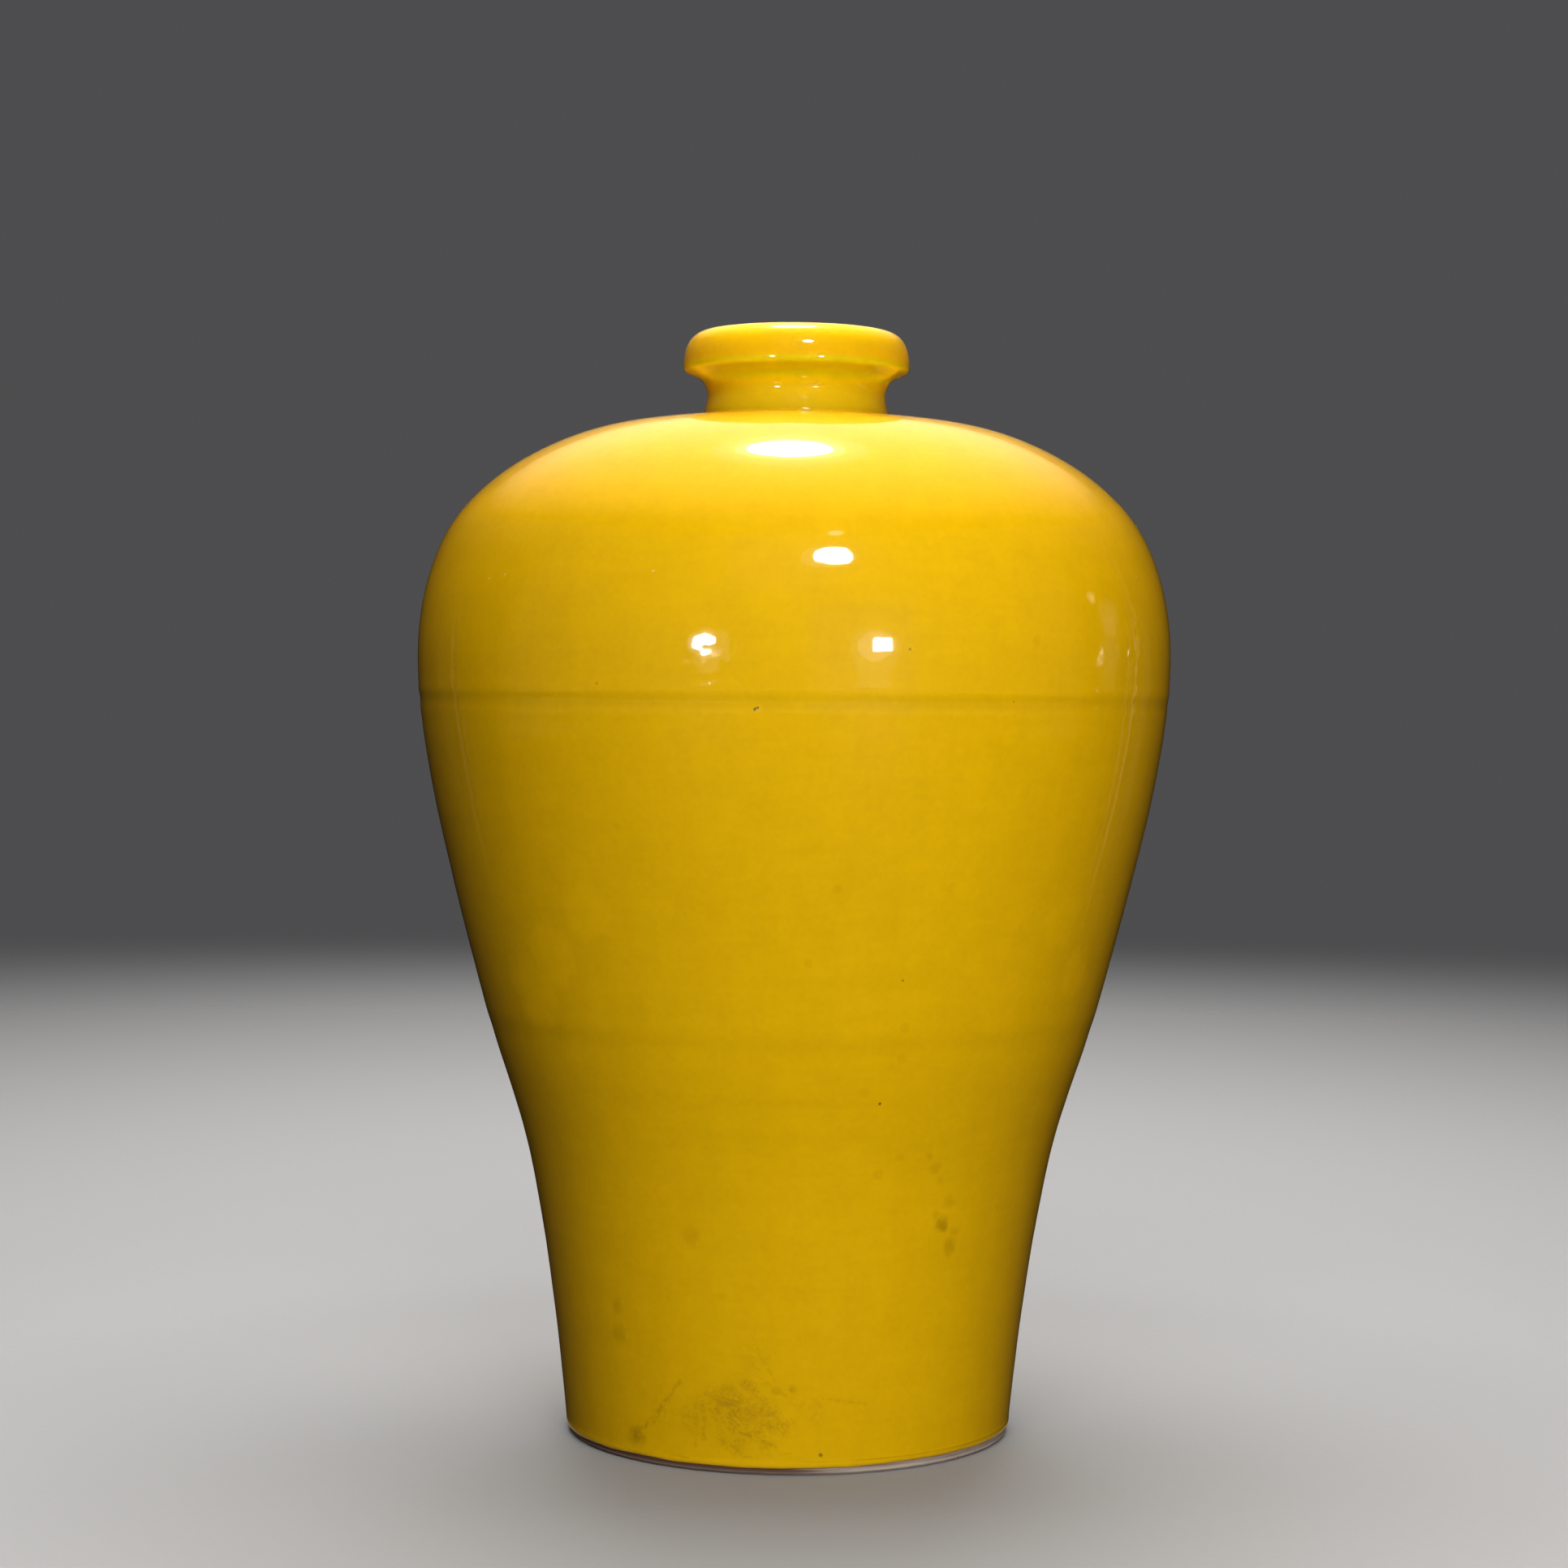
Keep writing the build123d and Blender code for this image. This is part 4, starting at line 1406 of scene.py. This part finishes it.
class VASE_OT_studio(Operator):
    """Sets the floor, the backdrop, the lamps and the camera"""

    bl_idname = "vase.studio"
    bl_label = "Studio"

    def execute(self, context):
        studio = context.scene.vase_studio
        context.scene.view_settings.view_transform = "Standard"
        self.lay_floor(studio)
        self.lay_cloth()
        for row in PANELS:
            self.hang_panel(*row)
        self.hold_flag()
        for name, start in (("right_card", CARD_START), ("left_card", -CARD_START - CARD_SWEEP)):
            self.stand_card(name, start)
        self.fill_world(context.scene, studio)
        centre = Vector((0, 0, cad_box[1].z / 2))
        for name, azimuth, elevation, reach, size, level in SOFT_LAMPS:
            place = centre + from_centre(azimuth, elevation) * reach
            soft = lamp(name, place, centre, size, studio.soft * level)
            soft.visible_glossy = False
        for name, azimuth, elevation, reach, size, flat, shape, level in GLINT_LAMPS:
            place = centre + from_centre(azimuth, elevation) * reach
            glint = lamp(name, place, centre, size, studio.glints * level, shape, flat)
            glint.visible_diffuse = False
        for name, size, level in OVERHEAD_LAMPS:
            lamp(name, OVERHEAD_PLACE, centre, size, studio.overhead * level, "DISK")
        self.place_camera(context.scene, studio)
        return {"FINISHED"}

    def lay_floor(self, studio):
        """A round floor that fades into the backdrop, and is clear from below."""
        outline = Outline("floor")
        outline.add([straight(at(0, 0), at(FLOOR_RADIUS, 0))], FLOOR_STEP)
        floor = outline.draw()
        turn(floor, FLOOR_COLUMNS)
        finish = Finish("plain_floor")
        seen = finish.add("ShaderNodeLightPath", output="Is Camera Ray")
        for ray in ("Is Glossy Ray", "Is Transmission Ray"):
            seen = seen.either(finish.add("ShaderNodeLightPath", output=ray))
        tone = finish.blend(seen, studio.floor_bounce, studio.floor)
        paint = finish.add(
            "ShaderNodeBsdfPrincipled", None,
            {"Base Color": tone, "Roughness": FLOOR_ROUGHNESS + 0.1 * finish.noise(300)})
        clear = finish.add("ShaderNodeBsdfTransparent")
        away = finish.vector("LENGTH", finish.place, output="Value")
        below = finish.add("ShaderNodeNewGeometry", output="Backfacing")
        gone = below.either(finish.step(away, FLOOR_FADE, FLOOR_RADIUS * FLOOR_FADE_SHARE))
        mixed = finish.add("ShaderNodeMixShader", None, {0: gone, 1: paint, 2: clear})
        dress(floor, finish.close(mixed))
        if floor.data.polygons[0].normal.z < 0:
            with editing(floor):
                bpy.ops.mesh.select_all(action="SELECT")
                bpy.ops.mesh.flip_normals()

    def gloss_only(self, piece, glow, gone):
        """Makes a piece dark but for its glow, clear where it is gone, and seen in gloss alone."""
        finish = glow.finish
        dark = finish.add(
            "ShaderNodeBsdfPrincipled", None,
            {"Base Color": DARK, "Roughness": DARK_ROUGHNESS, "Emission Color": glow,
             "Emission Strength": 1.0})
        clear = finish.add("ShaderNodeBsdfTransparent")
        mixed = finish.add("ShaderNodeMixShader", None, {0: gone, 1: dark, 2: clear})
        dress(piece, finish.close(mixed))
        piece.visible_camera = piece.visible_diffuse = piece.visible_shadow = False

    def stand_card(self, name, start):
        """A curved dark card at one side, so that the outline stays deep."""
        outline = Outline(name)
        foot = Vector((sin(start), -cos(start), 0)) * CARD_REACH
        outline.add([straight(foot, foot + UP * CARD_HEIGHT)], CARD_HEIGHT)
        card = outline.draw()
        with editing(card):
            bpy.ops.mesh.select_all(action="SELECT")
            bpy.ops.mesh.spin(
                steps=CARD_COLUMNS, angle=-CARD_SWEEP, center=(0, 0, 0), axis=UP)
        finish = Finish(name)
        side = finish.x.size()
        turned = finish.math("ARCTAN2", side, 0 - finish.y)
        streak = None
        for azimuth, width, level in CARD_STREAKS:
            away = (turned - radians(azimuth)).size()
            line = level * (1 - finish.step(away, 0.0, radians(width)))
            streak = streak.either(line) if streak else line
        right = finish.step(finish.x, -CARD_MIDDLE, CARD_MIDDLE)
        streak = streak * (LEFT_STREAK_SHARE + (1 - LEFT_STREAK_SHARE) * right)
        dimmed = STREAK_DIMMING * finish.step(finish.z, *STREAK_OUT)
        streak = streak * finish.step(finish.z, *STREAK_IN) * (1 - dimmed)
        for azimuth, height, reach, level in CARD_SPOTS:
            spot = from_centre(azimuth, 0) * CARD_REACH + UP * height
            streak = streak.either(finish.near(spot, reach) * level)
        gone = 1 - finish.step(turned, CARD_START, CARD_FULL)
        gone = gone.either(finish.step(finish.z, CARD_HEIGHT * CARD_FADE_SHARE, CARD_HEIGHT))
        self.gloss_only(card, finish.tint(CARD_TONE, streak), gone)

    def lay_cloth(self):
        """A dark cloth round the vase, which keeps the floor out of the lower wall's gloss."""
        outline = Outline("dark_cloth")
        hem, edge = at(CLOTH_HOLE, CLOTH_LIFT), at(CLOTH_RADIUS, CLOTH_LIFT)
        outline.add([straight(hem, edge)], CLOTH_STEP)
        cloth = outline.draw()
        turn(cloth, CLOTH_COLUMNS)
        finish = Finish("dark_cloth")
        away = finish.vector("LENGTH", finish.place, output="Value")
        gone = finish.step(away, CLOTH_RADIUS * CLOTH_FADE_SHARE, CLOTH_RADIUS)
        self.gloss_only(cloth, finish.tint((0.0, 0.0, 0.0), gone), gone)

    def hang_panel(self, name, middle, tip, reach, lengthening, level):
        """A wide soft panel, which gives the shoulder its pale shine."""
        bpy.ops.object.select_all(action="DESELECT")
        bpy.ops.mesh.primitive_grid_add(
            x_subdivisions=PANEL_PARTS, y_subdivisions=PANEL_PARTS, size=2 * reach)
        panel = bpy.context.object
        panel.name = panel.data.name = name
        panel.scale.y = lengthening
        panel.rotation_euler = tip
        panel.location = middle
        bpy.ops.object.transform_apply(location=True, rotation=True, scale=True)
        finish = Finish(name)
        long_way = Euler(tip).to_matrix() @ Vector((0, 1, 0))
        squeeze = Vector([1 / lengthening if abs(part) > 0.5 else 1 for part in long_way])
        place = finish.vector("MULTIPLY", finish.place, squeeze)
        glow = finish.near(Vector(middle) * squeeze, reach, place)
        gone = 1 - finish.step(glow, 0.0, PANEL_EDGE_GLOW)
        self.gloss_only(panel, finish.tint((1.0, 1.0, 1.0), glow * level), gone)

    def hold_flag(self):
        """A small dark disc that casts a shadow on the lip and doesn't show itself."""
        bpy.ops.object.select_all(action="DESELECT")
        bpy.ops.mesh.primitive_circle_add(
            vertices=FLAG_POINTS, radius=FLAG_RADIUS, fill_type="NGON", location=UP * FLAG_HEIGHT)
        bpy.ops.object.transform_apply(location=True, rotation=True, scale=True)
        flag = bpy.context.object
        flag.name = flag.data.name = "mouth_flag"
        finish = Finish("mouth_flag")
        dress(flag, finish.close(finish.add(
            "ShaderNodeBsdfPrincipled", None,
            {"Base Color": DARK, "Roughness": DARK_ROUGHNESS})))
        flag.visible_camera = flag.visible_diffuse = flag.visible_glossy = False

    def fill_world(self, scene, studio):
        """An even light from all round, in front of which a pale backdrop shows."""
        world = bpy.data.worlds.new("studio")
        scene.world = world
        world.use_nodes = True
        tree = world.node_tree
        tree.nodes.clear()
        light, shown = (tree.nodes.new("ShaderNodeBackground") for _ in range(2))
        light.inputs["Color"].default_value = (1, 1, 1, 1)
        light.inputs["Strength"].default_value = studio.ambient
        shown.inputs["Color"].default_value = (*studio.backdrop, 1)
        path = tree.nodes.new("ShaderNodeLightPath")
        seen = path.outputs["Is Camera Ray"]
        for ray in ("Is Glossy Ray", "Is Transmission Ray"):
            either = tree.nodes.new("ShaderNodeMath")
            either.operation = "MAXIMUM"
            tree.links.new(seen, either.inputs[0])
            tree.links.new(path.outputs[ray], either.inputs[1])
            seen = either.outputs[0]
        mix = tree.nodes.new("ShaderNodeMixShader")
        tree.links.new(seen, mix.inputs[0])
        tree.links.new(light.outputs[0], mix.inputs[1])
        tree.links.new(shown.outputs[0], mix.inputs[2])
        output = tree.nodes.new("ShaderNodeOutputWorld")
        tree.links.new(mix.outputs[0], output.inputs["Surface"])

    def place_camera(self, scene, studio):
        """The camera at the photographed angle, with its small tilt."""
        turned = Euler((0, 0, CAMERA_YAW)).to_matrix()
        tipped = Euler((pi / 2 - CAMERA_PITCH, 0, 0)).to_matrix()
        rolled = Euler((0, 0, CAMERA_ROLL)).to_matrix()
        bpy.ops.object.camera_add(
            location=(0, -studio.camera_distance, studio.camera_height),
            rotation=(turned @ tipped @ rolled).to_euler())
        camera = bpy.context.object
        camera.name = camera.data.name = "camera"
        camera.data.lens = studio.lens
        camera.data.sensor_width = SENSOR_WIDTH
        scene.camera = camera


class VASE_PT_panel(Panel):
    """Lists the vase's pieces, sizes and finishes"""

    bl_idname = "VASE_PT_panel"
    bl_label = "Meiping vase"
    bl_space_type = "VIEW_3D"
    bl_region_type = "UI"
    bl_category = "Vase"

    def draw(self, context):
        for operator in OPERATORS:
            self.layout.operator(operator.bl_idname)
        for name, group in GROUPS.items():
            box = self.layout.box()
            box.label(text=group.__doc__)
            for prop in group.__annotations__:
                box.prop(getattr(context.scene, name), prop)


OPERATORS = (
    VASE_OT_yellow_coat, VASE_OT_bare_foot, VASE_OT_lining, VASE_OT_hidden_clay, VASE_OT_studio,
)
GROUPS = {
    "vase_sizes": VaseSizes,
    "vase_walls": WallSizes,
    "vase_glaze": GlazeSizes,
    "vase_finishes": Finishes,
    "vase_studio": Studio,
}


def register():
    for cls in (*GROUPS.values(), *OPERATORS, VASE_PT_panel):
        bpy.utils.register_class(cls)
    for name, group in GROUPS.items():
        setattr(bpy.types.Scene, name, PointerProperty(type=group))


def unregister():
    for name in GROUPS:
        delattr(bpy.types.Scene, name)
    for cls in reversed((*GROUPS.values(), *OPERATORS, VASE_PT_panel)):
        bpy.utils.unregister_class(cls)


def main():
    register()
    bpy.ops.vase.studio()
    bpy.ops.vase.hidden_clay()
    bpy.ops.vase.lining()
    bpy.ops.vase.bare_foot()
    bpy.ops.vase.yellow_coat()


if __name__ == "__main__":
    main()
